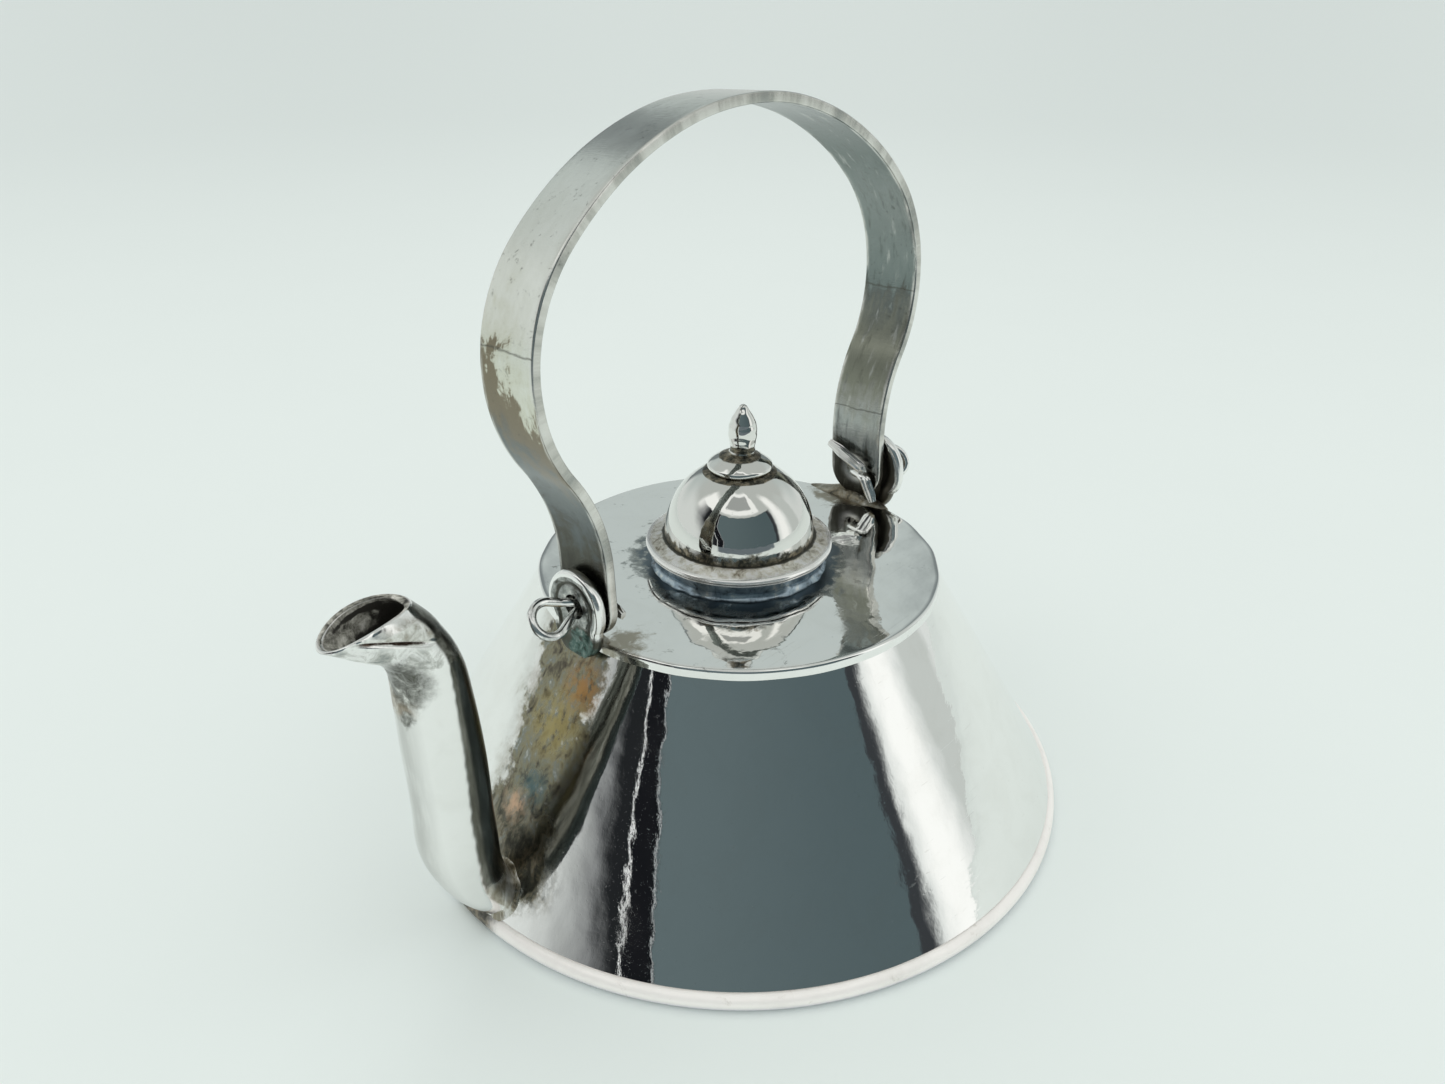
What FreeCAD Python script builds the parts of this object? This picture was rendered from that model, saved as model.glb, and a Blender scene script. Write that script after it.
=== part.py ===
import FreeCAD
import Part
import math
import os
import Sketcher

# Miniature silver kettle. Z is up, the spout points to -X and the base stands on z = 0 about the origin.
# The handle swings about an X axis through the two lugs. All sizes are millimetres.

os.makedirs("parts", exist_ok=True)
doc = FreeCAD.newDocument("kettle")
sheet = doc.addObject("Spreadsheet::Sheet", "dims")

DIMENSIONS = {
    # Base and wall
    "base_radius": 25.0,
    "base_sheet": 0.7,
    "rim_bore": 23.3,
    "rim_height": 1.3,
    "rim_round": 0.6,
    "wall_foot_radius": 24.4,
    "wall_foot_bore": 23.7,
    "wall_top_radius": 14.6,
    "wall_top_bore": 13.9,
    "wall_rise": 16.3,
    # Shoulder and collar
    "shoulder_underside": 17.6,
    "shoulder_height": 18.3,
    "shoulder_radius": 14.7,
    "shoulder_sheet": 0.7,
    "shoulder_round": 0.25,
    "mouth_radius": 5.5,
    "collar_radius": 6.1,
    "collar_rise": 1.55,
    "collar_solder_radius": 6.6,
    "collar_solder_rise": 0.45,
    # Spout stations: reach from the axis, height, lean of the section and radius
    "spout_sheet": 0.45,
    "foot_reach": 23.16,
    "foot_height": 1.99,
    "foot_lean": -48.4,
    "foot_radius": 1.5,
    "elbow_reach": 24.95,
    "elbow_height": 4.8,
    "elbow_lean": -19.0,
    "elbow_radius": 1.85,
    "belly_reach": 25.81,
    "belly_height": 9.0,
    "belly_lean": -6.5,
    "belly_radius": 2.25,
    "tube_reach": 26.1,
    "tube_height": 14.85,
    "tube_lean": -1.5,
    "tube_radius": 2.4,
    "neck_reach": 26.45,
    "neck_height": 22.9,
    "neck_radius": 2.12,
    "spout_hole_radius": 1.05,
    "spout_solder_radius": 2.05,
    "spout_solder_end": 1.45,
    "spout_solder_rise": 2.6,
    # Spout nose
    "nose_reach": 27.9,
    "nose_height": 24.5,
    "nose_half_length": 2.75,
    "nose_half_width": 1.9,
    "lip_reach": 29.45,
    "lip_height": 26.1,
    "lip_half_length": 2.95,
    "lip_half_width": 1.5,
    # Lugs and pivot
    "pivot_height": 21.0,
    "pivot_hole_radius": 0.85,
    "lug_hole_radius": 1.0,
    "lug_inner_face": 14.95,
    "lug_sheet": 0.8,
    "front_lug_radius": 2.45,
    "rear_lug_radius": 2.9,
    "front_lug_offset": 0.0,
    "rear_lug_offset": 0.8,
    "lug_neck_width": 4.2,
    "lug_foot": 16.5,
    "lug_solder_reach": 15.35,
    "lug_solder_height": 16.9,
    "lug_solder_length": 2.5,
    "lug_solder_depth": 0.9,
    "lug_solder_rise": 0.85,
    # Handle strap, to the middle of its thickness
    "strap_width": 4.7,
    "strap_sheet": 0.67,
    "strap_half_span": 14.32,
    "strap_straight_top": 23.5,
    "strap_end": 18.65,
    "strap_end_round": 2.25,
    "arch_centre": 28.11,
    "arch_radius": 21.74,
    "arch_haunch_radius": 10.17,
    "arch_foot_radius": 11.78,
    "handle_lean": 2.8,
    # Split pins, from the pivot
    "pin_wire_radius": 0.25,
    "pin_strand_offset": 0.28,
    "pin_leg_plane": 13.42,
    "pin_straight_end": 15.95,
    "pin_throat_radius": 1.0,
    "pin_eye_radius": 1.15,
    "pin_up_leg": 2.65,
    "pin_up_angle": 56.0,
    "pin_down_leg": 2.55,
    "pin_down_angle": 137.0,
    # Lid
    "lid_seat": 19.9,
    "flange_radius": 6.8,
    "flange_sheet": 0.6,
    "flange_round": 0.28,
    "bezel_radius": 5.2,
    "bezel_bore": 4.7,
    "bezel_drop": 2.0,
    "dome_foot": 20.5,
    "dome_centre": 20.6,
    "dome_radius": 5.4,
    "dome_sheet": 0.5,
    "cap_radius": 2.35,
    "cap_land": 2.05,
    "cap_underside": 25.2,
    "cap_lower_edge": 25.72,
    "cap_upper_edge": 26.3,
    "cap_edge_round": 0.36,
    "cap_top": 26.75,
    "cap_top_radius": 0.85,
    "peg_radius": 0.4,
    "peg_hole_radius": 0.43,
    "peg_end": 25.3,
    "finial_neck_radius": 0.58,
    "finial_neck_height": 27.05,
    "finial_skirt_radius": 0.85,
    "finial_skirt_height": 27.4,
    "finial_bud_radius": 0.96,
    "finial_bud_height": 28.5,
    "finial_bud_curve": 2.2,
    "finial_taper_curve": 3.4,
    "finial_tip_radius": 0.2,
    "finial_tip_height": 30.15,
    "finial_top": 30.3,
}

for row, (alias, size) in enumerate(DIMENSIONS.items(), start=1):
    sheet.set("A%d" % row, alias.replace("_", " "))
    sheet.set("B%d" % row, str(size))
    sheet.setAlias("B%d" % row, alias)
doc.recompute()


def size(alias):
    return float(sheet.get(alias))


def bind(thing, prop, formula):
    thing.setExpression(prop, formula)


def primitive(kind, name, sizes, place=None):
    """Make a basic solid whose sizes and position follow the sheet."""
    thing = doc.addObject(kind, name)
    for prop, formula in sizes.items():
        bind(thing, prop, formula)
    for axis, formula in (place or {}).items():
        bind(thing, "Placement.Base." + axis, formula)
    return thing


def turned(thing, axis, formula):
    """Turn a solid about one axis by an angle from the sheet."""
    thing.Placement.Rotation = FreeCAD.Rotation(axis, 1.0)
    bind(thing, "Placement.Rotation.Angle", formula)
    return thing


def cut(name, base, tool):
    result = doc.addObject("Part::Cut", name)
    result.Base = base
    result.Tool = tool
    return result


def fuse(name, shapes):
    result = doc.addObject("Part::MultiFuse", name)
    result.Shapes = shapes
    return result


def tube(name, outer, bore, rise, height):
    """A ring between two cylinders that stands at a height."""
    skin = primitive("Part::Cylinder", name + "_skin", {"Radius": outer, "Height": rise}, {"z": height})
    core = primitive("Part::Cylinder", name + "_core", {"Radius": bore, "Height": rise}, {"z": height})
    return cut(name, skin, core)


def plane_of(body, role):
    return [plane for plane in body.Origin.OriginFeatures if plane.Role == role][0]


def new_sketch(body, name, role):
    sketch = body.newObject("Sketcher::SketchObject", name)
    sketch.AttachmentSupport = (plane_of(body, role), [""])
    sketch.MapMode = "FlatFace"
    return sketch


def rule(sketch, formula, *constraint):
    """Add a constraint whose value is a formula on the sheet."""
    index = sketch.addConstraint(Sketcher.Constraint(*constraint))
    sketch.setExpression("Constraints[%d]" % index, formula)


def arc_between(start, end, radius, turn):
    """Arc from start to end: turn is 1 for counter-clockwise and -1 for clockwise."""
    chord = end - start
    middle = (start + end) * 0.5
    lift = math.sqrt(max(radius ** 2 - (chord.Length / 2) ** 2, 0.0))
    normal = FreeCAD.Vector(-chord.y, chord.x, 0) / chord.Length
    centre = middle + normal * lift * turn
    first = math.atan2(start.y - centre.y, start.x - centre.x)
    last = math.atan2(end.y - centre.y, end.x - centre.x)
    if turn < 0:
        first, last = last, first
    return Part.ArcOfCircle(Part.Circle(centre, FreeCAD.Vector(0, 0, 1), radius), first, last)


def revolved(name, corners):
    """Revolve a closed outline about Z. A corner is a radius and a height, then an arc's radius and turn."""
    body = doc.addObject("PartDesign::Body", name)
    sketch = new_sketch(body, name + "_outline", "XZ_Plane")
    points = [FreeCAD.Vector(size(c[0]) if c[0] else 0, size(c[1]) if c[1] else 0, 0) for c in corners]
    count = len(corners)
    starts, ends = [], []
    for i, corner in enumerate(corners):
        nxt = points[(i + 1) % count]
        if len(corner) == 4:
            edge = sketch.addGeometry(arc_between(points[i], nxt, size(corner[2]), corner[3]))
            starts.append((edge, 1 if corner[3] > 0 else 2))
            ends.append((edge, 2 if corner[3] > 0 else 1))
        else:
            edge = sketch.addGeometry(Part.LineSegment(points[i], nxt))
            starts.append((edge, 1))
            ends.append((edge, 2))
    for i in range(count):
        sketch.addConstraint(Sketcher.Constraint("Coincident", *ends[i - 1], *starts[i]))
    for i, corner in enumerate(corners):
        if corner[0]:
            rule(sketch, "dims." + corner[0], "DistanceX", -1, 1, *starts[i], points[i].x)
        else:
            sketch.addConstraint(Sketcher.Constraint("PointOnObject", *starts[i], -2))
        if corner[1]:
            rule(sketch, "dims." + corner[1], "DistanceY", -1, 1, *starts[i], points[i].y)
        else:
            sketch.addConstraint(Sketcher.Constraint("PointOnObject", *starts[i], -1))
        if len(corner) == 4:
            rule(sketch, "dims." + corner[2], "Radius", starts[i][0], size(corner[2]))
    turn = body.newObject("PartDesign::Revolution", name + "_turned")
    turn.Profile = sketch
    turn.ReferenceAxis = (sketch, ["V_Axis"])
    turn.Angle = 360
    body.Tip = turn
    return body


def circle_edges(shape, radius, height):
    """Names of the edges that are circles about Z with this radius and height."""
    names = []
    for i, edge in enumerate(shape.Edges, start=1):
        if not isinstance(edge.Curve, Part.Circle):
            continue
        same_radius = abs(edge.Curve.Radius - radius) < 1e-4
        if same_radius and abs(edge.Curve.Center.z - height) < 1e-4:
            names.append("Edge%d" % i)
    return names


def rounded(body, name, base, edges, formula):
    fillet = body.newObject("PartDesign::Fillet", name)
    fillet.Base = (base, edges)
    bind(fillet, "Radius", formula)
    body.Tip = fillet
    return fillet


# Base pan: flat bottom sheet with a thick rounded rim
base_pan = revolved("base_pan", [
    ("", ""),
    ("base_radius", ""),
    ("base_radius", "rim_height"),
    ("rim_bore", "rim_height"),
    ("rim_bore", "base_sheet"),
    ("", "base_sheet"),
])
doc.recompute()
rim_edges = circle_edges(base_pan.Shape, size("base_radius"), 0.0)
rim_edges += circle_edges(base_pan.Shape, size("base_radius"), size("rim_height"))
rounded(base_pan, "rim_rounding", base_pan.Tip, rim_edges, "dims.rim_round")

# Body wall: rolled cone with the hole into the spout
cone_outside = primitive(
    "Part::Cone", "cone_outside",
    {"Radius1": "dims.wall_foot_radius", "Radius2": "dims.wall_top_radius", "Height": "dims.wall_rise"},
    {"z": "dims.rim_height"})
cone_inside = primitive(
    "Part::Cone", "cone_inside",
    {"Radius1": "dims.wall_foot_bore", "Radius2": "dims.wall_top_bore", "Height": "dims.wall_rise"},
    {"z": "dims.rim_height"})
spout_hole = primitive(
    "Part::Cylinder", "spout_hole",
    {"Radius": "dims.spout_hole_radius", "Height": "dims.foot_radius * 4"},
    {"x": "-dims.foot_reach + dims.foot_radius", "z": "dims.foot_height - dims.foot_radius * 0.35"})
turned(spout_hole, FreeCAD.Vector(0, 1, 0), "dims.foot_lean")
body_wall = cut("body_wall", cut("cone_shell", cone_outside, cone_inside), spout_hole)

# Shoulder plate: flat disc that closes the cone, with the mouth
shoulder_plate = revolved("shoulder_plate", [
    ("mouth_radius", "shoulder_underside"),
    ("shoulder_radius", "shoulder_underside"),
    ("shoulder_radius", "shoulder_height"),
    ("mouth_radius", "shoulder_height"),
])
doc.recompute()
plate_edges = circle_edges(shoulder_plate.Shape, size("shoulder_radius"), size("shoulder_height"))
rounded(shoulder_plate, "plate_rounding", shoulder_plate.Tip, plate_edges, "dims.shoulder_round")

# Collar round the mouth and its solder fillet
lid_collar = tube(
    "lid_collar", "dims.collar_radius", "dims.mouth_radius", "dims.collar_rise", "dims.shoulder_height")
solder_cone = primitive(
    "Part::Cone", "collar_solder_cone",
    {
        "Radius1": "dims.collar_solder_radius",
        "Radius2": "dims.collar_radius",
        "Height": "dims.collar_solder_rise",
    },
    {"z": "dims.shoulder_height"})
collar_room = primitive(
    "Part::Cylinder", "collar_room",
    {"Radius": "dims.collar_radius", "Height": "dims.collar_solder_rise"},
    {"z": "dims.shoulder_height"})
collar_solder = cut("collar_solder", solder_cone, collar_room)

# Outside of the whole body, which trims what is soldered to it
base_outside = primitive(
    "Part::Cylinder", "base_outside",
    {"Radius": "dims.base_radius", "Height": "dims.rim_height"})
shoulder_outside = primitive(
    "Part::Cylinder", "shoulder_outside",
    {"Radius": "dims.shoulder_radius", "Height": "dims.shoulder_sheet"},
    {"z": "dims.shoulder_underside"})
body_outside = fuse("body_outside", [cone_outside, base_outside, shoulder_outside])


def station(name, kind, sizes, reach, height, lean=None):
    """A round or oval section of the spout, square to its path."""
    ring = primitive(kind, name, sizes, {"x": "-dims." + reach, "z": "dims." + height})
    if lean:
        turned(ring, FreeCAD.Vector(0, 1, 0), "dims." + lean)
    return ring


def lofted(name, sections):
    loft = doc.addObject("Part::Loft", name)
    loft.Sections = sections
    loft.Solid = True
    loft.Ruled = False
    return loft


def spout_core(name, inset):
    """The tube of the spout, from inside the wall up to the nose, smaller all round by the inset."""
    places = (("foot", True), ("elbow", True), ("belly", True), ("tube", True), ("neck", False))
    rings = []
    for place, leans in places:
        radius = {"Radius": "dims.%s_radius - %s" % (place, inset)}
        lean = place + "_lean" if leans else None
        ring_name = "%s_%s" % (name, place)
        rings.append(station(ring_name, "Part::Circle", radius, place + "_reach", place + "_height", lean))
    return lofted(name, rings)


def nose_core(name, inset):
    """The nose of the spout, from the neck to the oblique oval mouth, smaller all round by the inset."""
    places = (
        ("neck", "neck_radius", "neck_radius"),
        ("nose", "nose_half_length", "nose_half_width"),
        ("lip", "lip_half_length", "lip_half_width"),
    )
    ovals = []
    for place, length, width in places:
        radii = {
            "MajorRadius": "dims.%s - %s" % (length, inset),
            "MinorRadius": "dims.%s - %s" % (width, inset),
        }
        oval_name = "%s_%s" % (name, place)
        ovals.append(station(oval_name, "Part::Ellipse", radii, place + "_reach", place + "_height"))
    return lofted(name, ovals)


# Spout tube, cut to the wall, with its solder ring and its nose
tube_outside = spout_core("tube_outside", "0")
tube_inside = spout_core("tube_inside", "dims.spout_sheet")
spout_tube = cut("spout_tube", cut("tube_shell", tube_outside, tube_inside), body_outside)
solder_ring = station(
    "solder_ring", "Part::Cone",
    {
        "Radius1": "dims.spout_solder_radius",
        "Radius2": "dims.spout_solder_end",
        "Height": "dims.spout_solder_rise",
    },
    "foot_reach", "foot_height", "foot_lean")
spout_solder = cut("spout_solder", cut("solder_trimmed", solder_ring, tube_outside), body_outside)
nose_outside = nose_core("nose_outside", "0")
nose_inside = nose_core("nose_inside", "dims.spout_sheet")
spout_nose = cut("spout_nose", nose_outside, nose_inside)


def lug(name, side, radius, offset):
    """Round tab with a hole, cut to the wall at its foot. Side is -1 at the spout and 1 at the back."""
    face = "dims.lug_inner_face" if side > 0 else "-dims.lug_inner_face - dims.lug_sheet"
    disc = primitive(
        "Part::Cylinder", name + "_disc", {"Radius": radius, "Height": "dims.lug_sheet"},
        {"x": face, "y": "-" + offset, "z": "dims.pivot_height"})
    disc.Placement.Rotation = FreeCAD.Rotation(FreeCAD.Vector(0, 1, 0), 90)
    neck = primitive(
        "Part::Box", name + "_neck",
        {
            "Length": "dims.lug_sheet",
            "Width": "dims.lug_neck_width",
            "Height": "dims.pivot_height - dims.lug_foot",
        },
        {"x": face, "y": "-dims.lug_neck_width / 2 - " + offset, "z": "dims.lug_foot"})
    hole = primitive(
        "Part::Cylinder", name + "_hole",
        {"Radius": "dims.lug_hole_radius", "Height": "dims.lug_sheet * 3"},
        {"x": face + " - dims.lug_sheet", "z": "dims.pivot_height"})
    hole.Placement.Rotation = FreeCAD.Rotation(FreeCAD.Vector(0, 1, 0), 90)
    drilled = cut(name + "_drilled", fuse(name + "_blank", [disc, neck]), hole)
    return cut(name, drilled, body_outside)


def lug_solder(name, side, tab, offset):
    """Solder heaped round the foot of a lug."""
    sign = "" if side > 0 else "-"
    heap = primitive(
        "Part::Ellipsoid", name + "_heap",
        {
            "Radius1": "dims.lug_solder_rise",
            "Radius2": "dims.lug_solder_depth",
            "Radius3": "dims.lug_solder_length",
        },
        {"x": sign + "dims.lug_solder_reach", "y": "-" + offset, "z": "dims.lug_solder_height"})
    return cut(name, cut(name + "_trimmed", heap, tab), body_outside)


front_lug = lug("front_lug", -1, "dims.front_lug_radius", "dims.front_lug_offset")
rear_lug = lug("rear_lug", 1, "dims.rear_lug_radius", "dims.rear_lug_offset")
front_lug_solder = lug_solder("front_lug_solder", -1, front_lug, "dims.front_lug_offset")
rear_lug_solder = lug_solder("rear_lug_solder", 1, rear_lug, "dims.rear_lug_offset")

# Handle strap: a flat strip swept along an arch of tangent arcs
handle_strap = doc.addObject("PartDesign::Body", "handle_strap")


def arch_path(body):
    """Half outlines from the apex down: crown arc, haunch arc, reversed foot arc and a straight end."""
    crown = size("arch_radius")
    haunch = size("arch_haunch_radius")
    foot = size("arch_foot_radius")
    centre = size("arch_centre")
    span = size("strap_half_span")
    straight = size("strap_straight_top")
    foot_centre = FreeCAD.Vector(span + foot, straight, 0)
    top = FreeCAD.Vector(0, centre, 0)
    # The haunch centre lies at one distance from the crown centre and at another from the foot centre
    near = crown - haunch
    far = haunch + foot
    gap = foot_centre - top
    along = (near ** 2 - far ** 2 + gap.Length ** 2) / (2 * gap.Length)
    aside = math.sqrt(near ** 2 - along ** 2)
    unit = gap / gap.Length
    haunch_centre = top + unit * along + FreeCAD.Vector(-unit.y, unit.x, 0) * aside
    crown_end = top + (haunch_centre - top) * (crown / near)
    haunch_end = haunch_centre + (foot_centre - haunch_centre) * (haunch / far)
    foot_end = FreeCAD.Vector(span, straight, 0)
    strap_end = FreeCAD.Vector(span, size("strap_end"), 0)

    def mirror(point):
        return FreeCAD.Vector(-point.x, point.y, 0)

    sketch = new_sketch(body, "arch_path", "XZ_Plane")
    left_end = sketch.addGeometry(Part.LineSegment(mirror(strap_end), mirror(foot_end)))
    left_foot = sketch.addGeometry(arc_between(mirror(foot_end), mirror(haunch_end), foot, 1))
    left_haunch = sketch.addGeometry(arc_between(mirror(haunch_end), mirror(crown_end), haunch, -1))
    crown_arc = sketch.addGeometry(arc_between(mirror(crown_end), crown_end, crown, -1))
    right_haunch = sketch.addGeometry(arc_between(crown_end, haunch_end, haunch, -1))
    right_foot = sketch.addGeometry(arc_between(haunch_end, foot_end, foot, 1))
    right_end = sketch.addGeometry(Part.LineSegment(foot_end, strap_end))
    joints = [
        (left_end, 2, left_foot, 1),
        (left_foot, 2, left_haunch, 2),
        (left_haunch, 1, crown_arc, 2),
        (crown_arc, 1, right_haunch, 2),
        (right_haunch, 1, right_foot, 1),
        (right_foot, 2, right_end, 1),
    ]
    for joint in joints:
        sketch.addConstraint(Sketcher.Constraint("Tangent", *joint))
    for line in (left_end, right_end):
        sketch.addConstraint(Sketcher.Constraint("Vertical", line))
    rule(sketch, "dims.arch_radius", "Radius", crown_arc, crown)
    for arc in (left_haunch, right_haunch):
        rule(sketch, "dims.arch_haunch_radius", "Radius", arc, haunch)
    for arc in (left_foot, right_foot):
        rule(sketch, "dims.arch_foot_radius", "Radius", arc, foot)
    sketch.addConstraint(Sketcher.Constraint("PointOnObject", crown_arc, 3, -2))
    rule(sketch, "dims.arch_centre", "DistanceY", -1, 1, crown_arc, 3, centre)
    rule(sketch, "dims.strap_half_span", "DistanceX", left_end, 1, -1, 1, span)
    rule(sketch, "dims.strap_half_span", "DistanceX", -1, 1, right_end, 2, span)
    rule(sketch, "dims.strap_end", "DistanceY", -1, 1, left_end, 1, strap_end.y)
    rule(sketch, "dims.strap_end", "DistanceY", -1, 1, right_end, 2, strap_end.y)
    rule(sketch, "dims.strap_straight_top", "DistanceY", -1, 1, left_end, 2, straight)
    rule(sketch, "dims.strap_straight_top", "DistanceY", -1, 1, right_end, 1, straight)
    return sketch


def rectangle(sketch, middle, length, width):
    """Rectangle about a point on the X axis of the sketch. The point and both sides are sheet names."""
    x = -size(middle)
    half = size(length) / 2
    side = size(width) / 2
    corners = [(x - half, -side), (x + half, -side), (x + half, side), (x - half, side)]
    points = [FreeCAD.Vector(a, b, 0) for a, b in corners]
    edges = [sketch.addGeometry(Part.LineSegment(points[i], points[(i + 1) % 4])) for i in range(4)]
    for i in range(4):
        sketch.addConstraint(Sketcher.Constraint("Coincident", edges[i - 1], 2, edges[i], 1))
    for i, kind in enumerate(("Horizontal", "Vertical", "Horizontal", "Vertical")):
        sketch.addConstraint(Sketcher.Constraint(kind, edges[i]))
    rule(sketch, "dims." + length, "DistanceX", edges[0], 1, edges[0], 2, half * 2)
    rule(sketch, "dims." + width, "DistanceY", edges[1], 1, edges[1], 2, side * 2)
    rule(sketch, "dims.%s - dims.%s / 2" % (middle, length), "DistanceX", edges[0], 2, -1, 1, -x - half)
    rule(sketch, "dims.%s / 2" % width, "DistanceY", edges[0], 1, -1, 1, side)


arch = arch_path(handle_strap)
strap_section = new_sketch(handle_strap, "strap_section", "XY_Plane")
bind(strap_section, "AttachmentOffset.Base.z", "dims.strap_end")
rectangle(strap_section, "strap_half_span", "strap_sheet", "strap_width")
doc.recompute()
strip = handle_strap.newObject("PartDesign::AdditivePipe", "strip")
strip.Profile = strap_section
strip.Spine = arch
handle_strap.Tip = strip
doc.recompute()


def end_corners(shape):
    """Names of the short edges across the thickness at both ends of the strap."""
    names = []
    for i, edge in enumerate(shape.Edges, start=1):
        low = all(abs(v.Point.z - size("strap_end")) < 1e-3 for v in edge.Vertexes)
        outer = all(abs(abs(v.Point.y) - size("strap_width") / 2) < 1e-3 for v in edge.Vertexes)
        if low and outer and edge.Length < size("strap_sheet") * 1.5:
            names.append("Edge%d" % i)
    return names


rounded(handle_strap, "strap_ends", strip, end_corners(strip.Shape), "dims.strap_end_round")
hole_sketch = new_sketch(handle_strap, "strap_holes", "YZ_Plane")
hole_centre = FreeCAD.Vector(0, size("pivot_height"), 0)
ring = hole_sketch.addGeometry(
    Part.Circle(hole_centre, FreeCAD.Vector(0, 0, 1), size("pivot_hole_radius")))
hole_sketch.addConstraint(Sketcher.Constraint("PointOnObject", ring, 3, -2))
rule(hole_sketch, "dims.pivot_height", "DistanceY", -1, 1, ring, 3, size("pivot_height"))
rule(hole_sketch, "dims.pivot_hole_radius", "Radius", ring, size("pivot_hole_radius"))
drill = handle_strap.newObject("PartDesign::Pocket", "strap_drill")
drill.Profile = hole_sketch
drill.Type = "ThroughAll"
drill.Midplane = True
handle_strap.Tip = drill


def split_pin(name, side):
    """Wire pin: eye outside the lug, two legs spread inside the strap. Side is -1 at the spout."""
    body = doc.addObject("PartDesign::Body", name + "_eye")
    offset = size("pin_strand_offset")
    throat = size("pin_throat_radius")
    eye = size("pin_eye_radius")
    inner = size("pin_leg_plane")
    outer = size("pin_straight_end")
    run = math.sqrt((throat + eye) ** 2 - (offset + throat) ** 2)
    eye_centre = FreeCAD.Vector(-outer - run, 0, 0)
    upper_centre = FreeCAD.Vector(-outer, offset + throat, 0)
    lower_centre = FreeCAD.Vector(-outer, -offset - throat, 0)
    upper_start = FreeCAD.Vector(-inner, offset, 0)
    upper_end = FreeCAD.Vector(-outer, offset, 0)
    lower_start = FreeCAD.Vector(-inner, -offset, 0)
    lower_end = FreeCAD.Vector(-outer, -offset, 0)
    upper_touch = eye_centre + (upper_centre - eye_centre) * (eye / (eye + throat))
    lower_touch = eye_centre + (lower_centre - eye_centre) * (eye / (eye + throat))
    opening = math.atan2(upper_touch.y, upper_touch.x - eye_centre.x)
    path = new_sketch(body, name + "_path", "XZ_Plane")
    upper = path.addGeometry(Part.LineSegment(upper_start, upper_end))
    upper_throat = path.addGeometry(arc_between(upper_end, upper_touch, throat, -1))
    eye_circle = Part.Circle(eye_centre, FreeCAD.Vector(0, 0, 1), eye)
    loop = path.addGeometry(Part.ArcOfCircle(eye_circle, opening, 2 * math.pi - opening))
    lower_throat = path.addGeometry(arc_between(lower_touch, lower_end, throat, -1))
    lower = path.addGeometry(Part.LineSegment(lower_end, lower_start))
    joints = [
        (upper, 2, upper_throat, 2),
        (upper_throat, 1, loop, 1),
        (loop, 2, lower_throat, 2),
        (lower_throat, 1, lower, 1),
    ]
    for joint in joints:
        path.addConstraint(Sketcher.Constraint("Tangent", *joint))
    for line in (upper, lower):
        path.addConstraint(Sketcher.Constraint("Horizontal", line))
    for arc in (upper_throat, lower_throat):
        rule(path, "dims.pin_throat_radius", "Radius", arc, throat)
    rule(path, "dims.pin_eye_radius", "Radius", loop, eye)
    rule(path, "dims.pin_leg_plane", "DistanceX", upper, 1, -1, 1, inner)
    rule(path, "dims.pin_leg_plane", "DistanceX", lower, 2, -1, 1, inner)
    rule(path, "dims.pin_strand_offset", "DistanceY", -1, 1, upper, 1, offset)
    rule(path, "dims.pin_strand_offset", "DistanceY", lower, 2, -1, 1, offset)
    rule(path, "dims.pin_straight_end", "DistanceX", upper, 2, -1, 1, outer)
    path.addConstraint(Sketcher.Constraint("PointOnObject", loop, 3, -1))
    wire = new_sketch(body, name + "_wire", "YZ_Plane")
    bind(wire, "AttachmentOffset.Base.z", "-dims.pin_leg_plane")
    round_wire = wire.addGeometry(
        Part.Circle(FreeCAD.Vector(0, offset, 0), FreeCAD.Vector(0, 0, 1), size("pin_wire_radius")))
    wire.addConstraint(Sketcher.Constraint("PointOnObject", round_wire, 3, -2))
    rule(wire, "dims.pin_strand_offset", "DistanceY", -1, 1, round_wire, 3, offset)
    rule(wire, "dims.pin_wire_radius", "Radius", round_wire, size("pin_wire_radius"))
    doc.recompute()
    pipe = body.newObject("PartDesign::AdditivePipe", name + "_loop")
    pipe.Profile = wire
    pipe.Spine = path
    body.Tip = pipe
    pieces = [body]
    for leg, sign in (("up", ""), ("down", "-")):
        start = {"x": "-dims.pin_leg_plane", "z": sign + "dims.pin_strand_offset"}
        rod = primitive(
            "Part::Cylinder", "%s_%s_leg" % (name, leg),
            {"Radius": "dims.pin_wire_radius", "Height": "dims.pin_%s_leg" % leg}, start)
        turned(rod, FreeCAD.Vector(side if leg == "up" else -side, 0, 0), "dims.pin_%s_angle" % leg)
        bend = primitive(
            "Part::Sphere", "%s_%s_bend" % (name, leg), {"Radius": "dims.pin_wire_radius"}, start)
        pieces += [rod, bend]
    pin = fuse(name, pieces)
    if side > 0:
        pin.Placement.Rotation = FreeCAD.Rotation(FreeCAD.Vector(0, 0, 1), 180)
    bind(pin, "Placement.Base.z", "dims.pivot_height")
    return pin


front_pin = split_pin("front_pin", -1)
rear_pin = split_pin("rear_pin", 1)

# Lid: bezel, flange, dome, stepped cap and finial
lid_bezel = tube(
    "lid_bezel", "dims.bezel_radius", "dims.bezel_bore", "dims.bezel_drop",
    "dims.lid_seat - dims.bezel_drop")
flange_ring = tube(
    "flange_ring", "dims.flange_radius", "dims.bezel_bore", "dims.flange_sheet", "dims.lid_seat")
doc.recompute()
lid_flange = doc.addObject("Part::Fillet", "lid_flange")
lid_flange.Base = flange_ring
flange_top = size("lid_seat") + size("flange_sheet")
flange_edges = circle_edges(flange_ring.Shape, size("flange_radius"), size("lid_seat"))
flange_edges += circle_edges(flange_ring.Shape, size("flange_radius"), flange_top)
lid_flange.Edges = [(int(edge[4:]), size("flange_round"), size("flange_round")) for edge in flange_edges]

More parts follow.
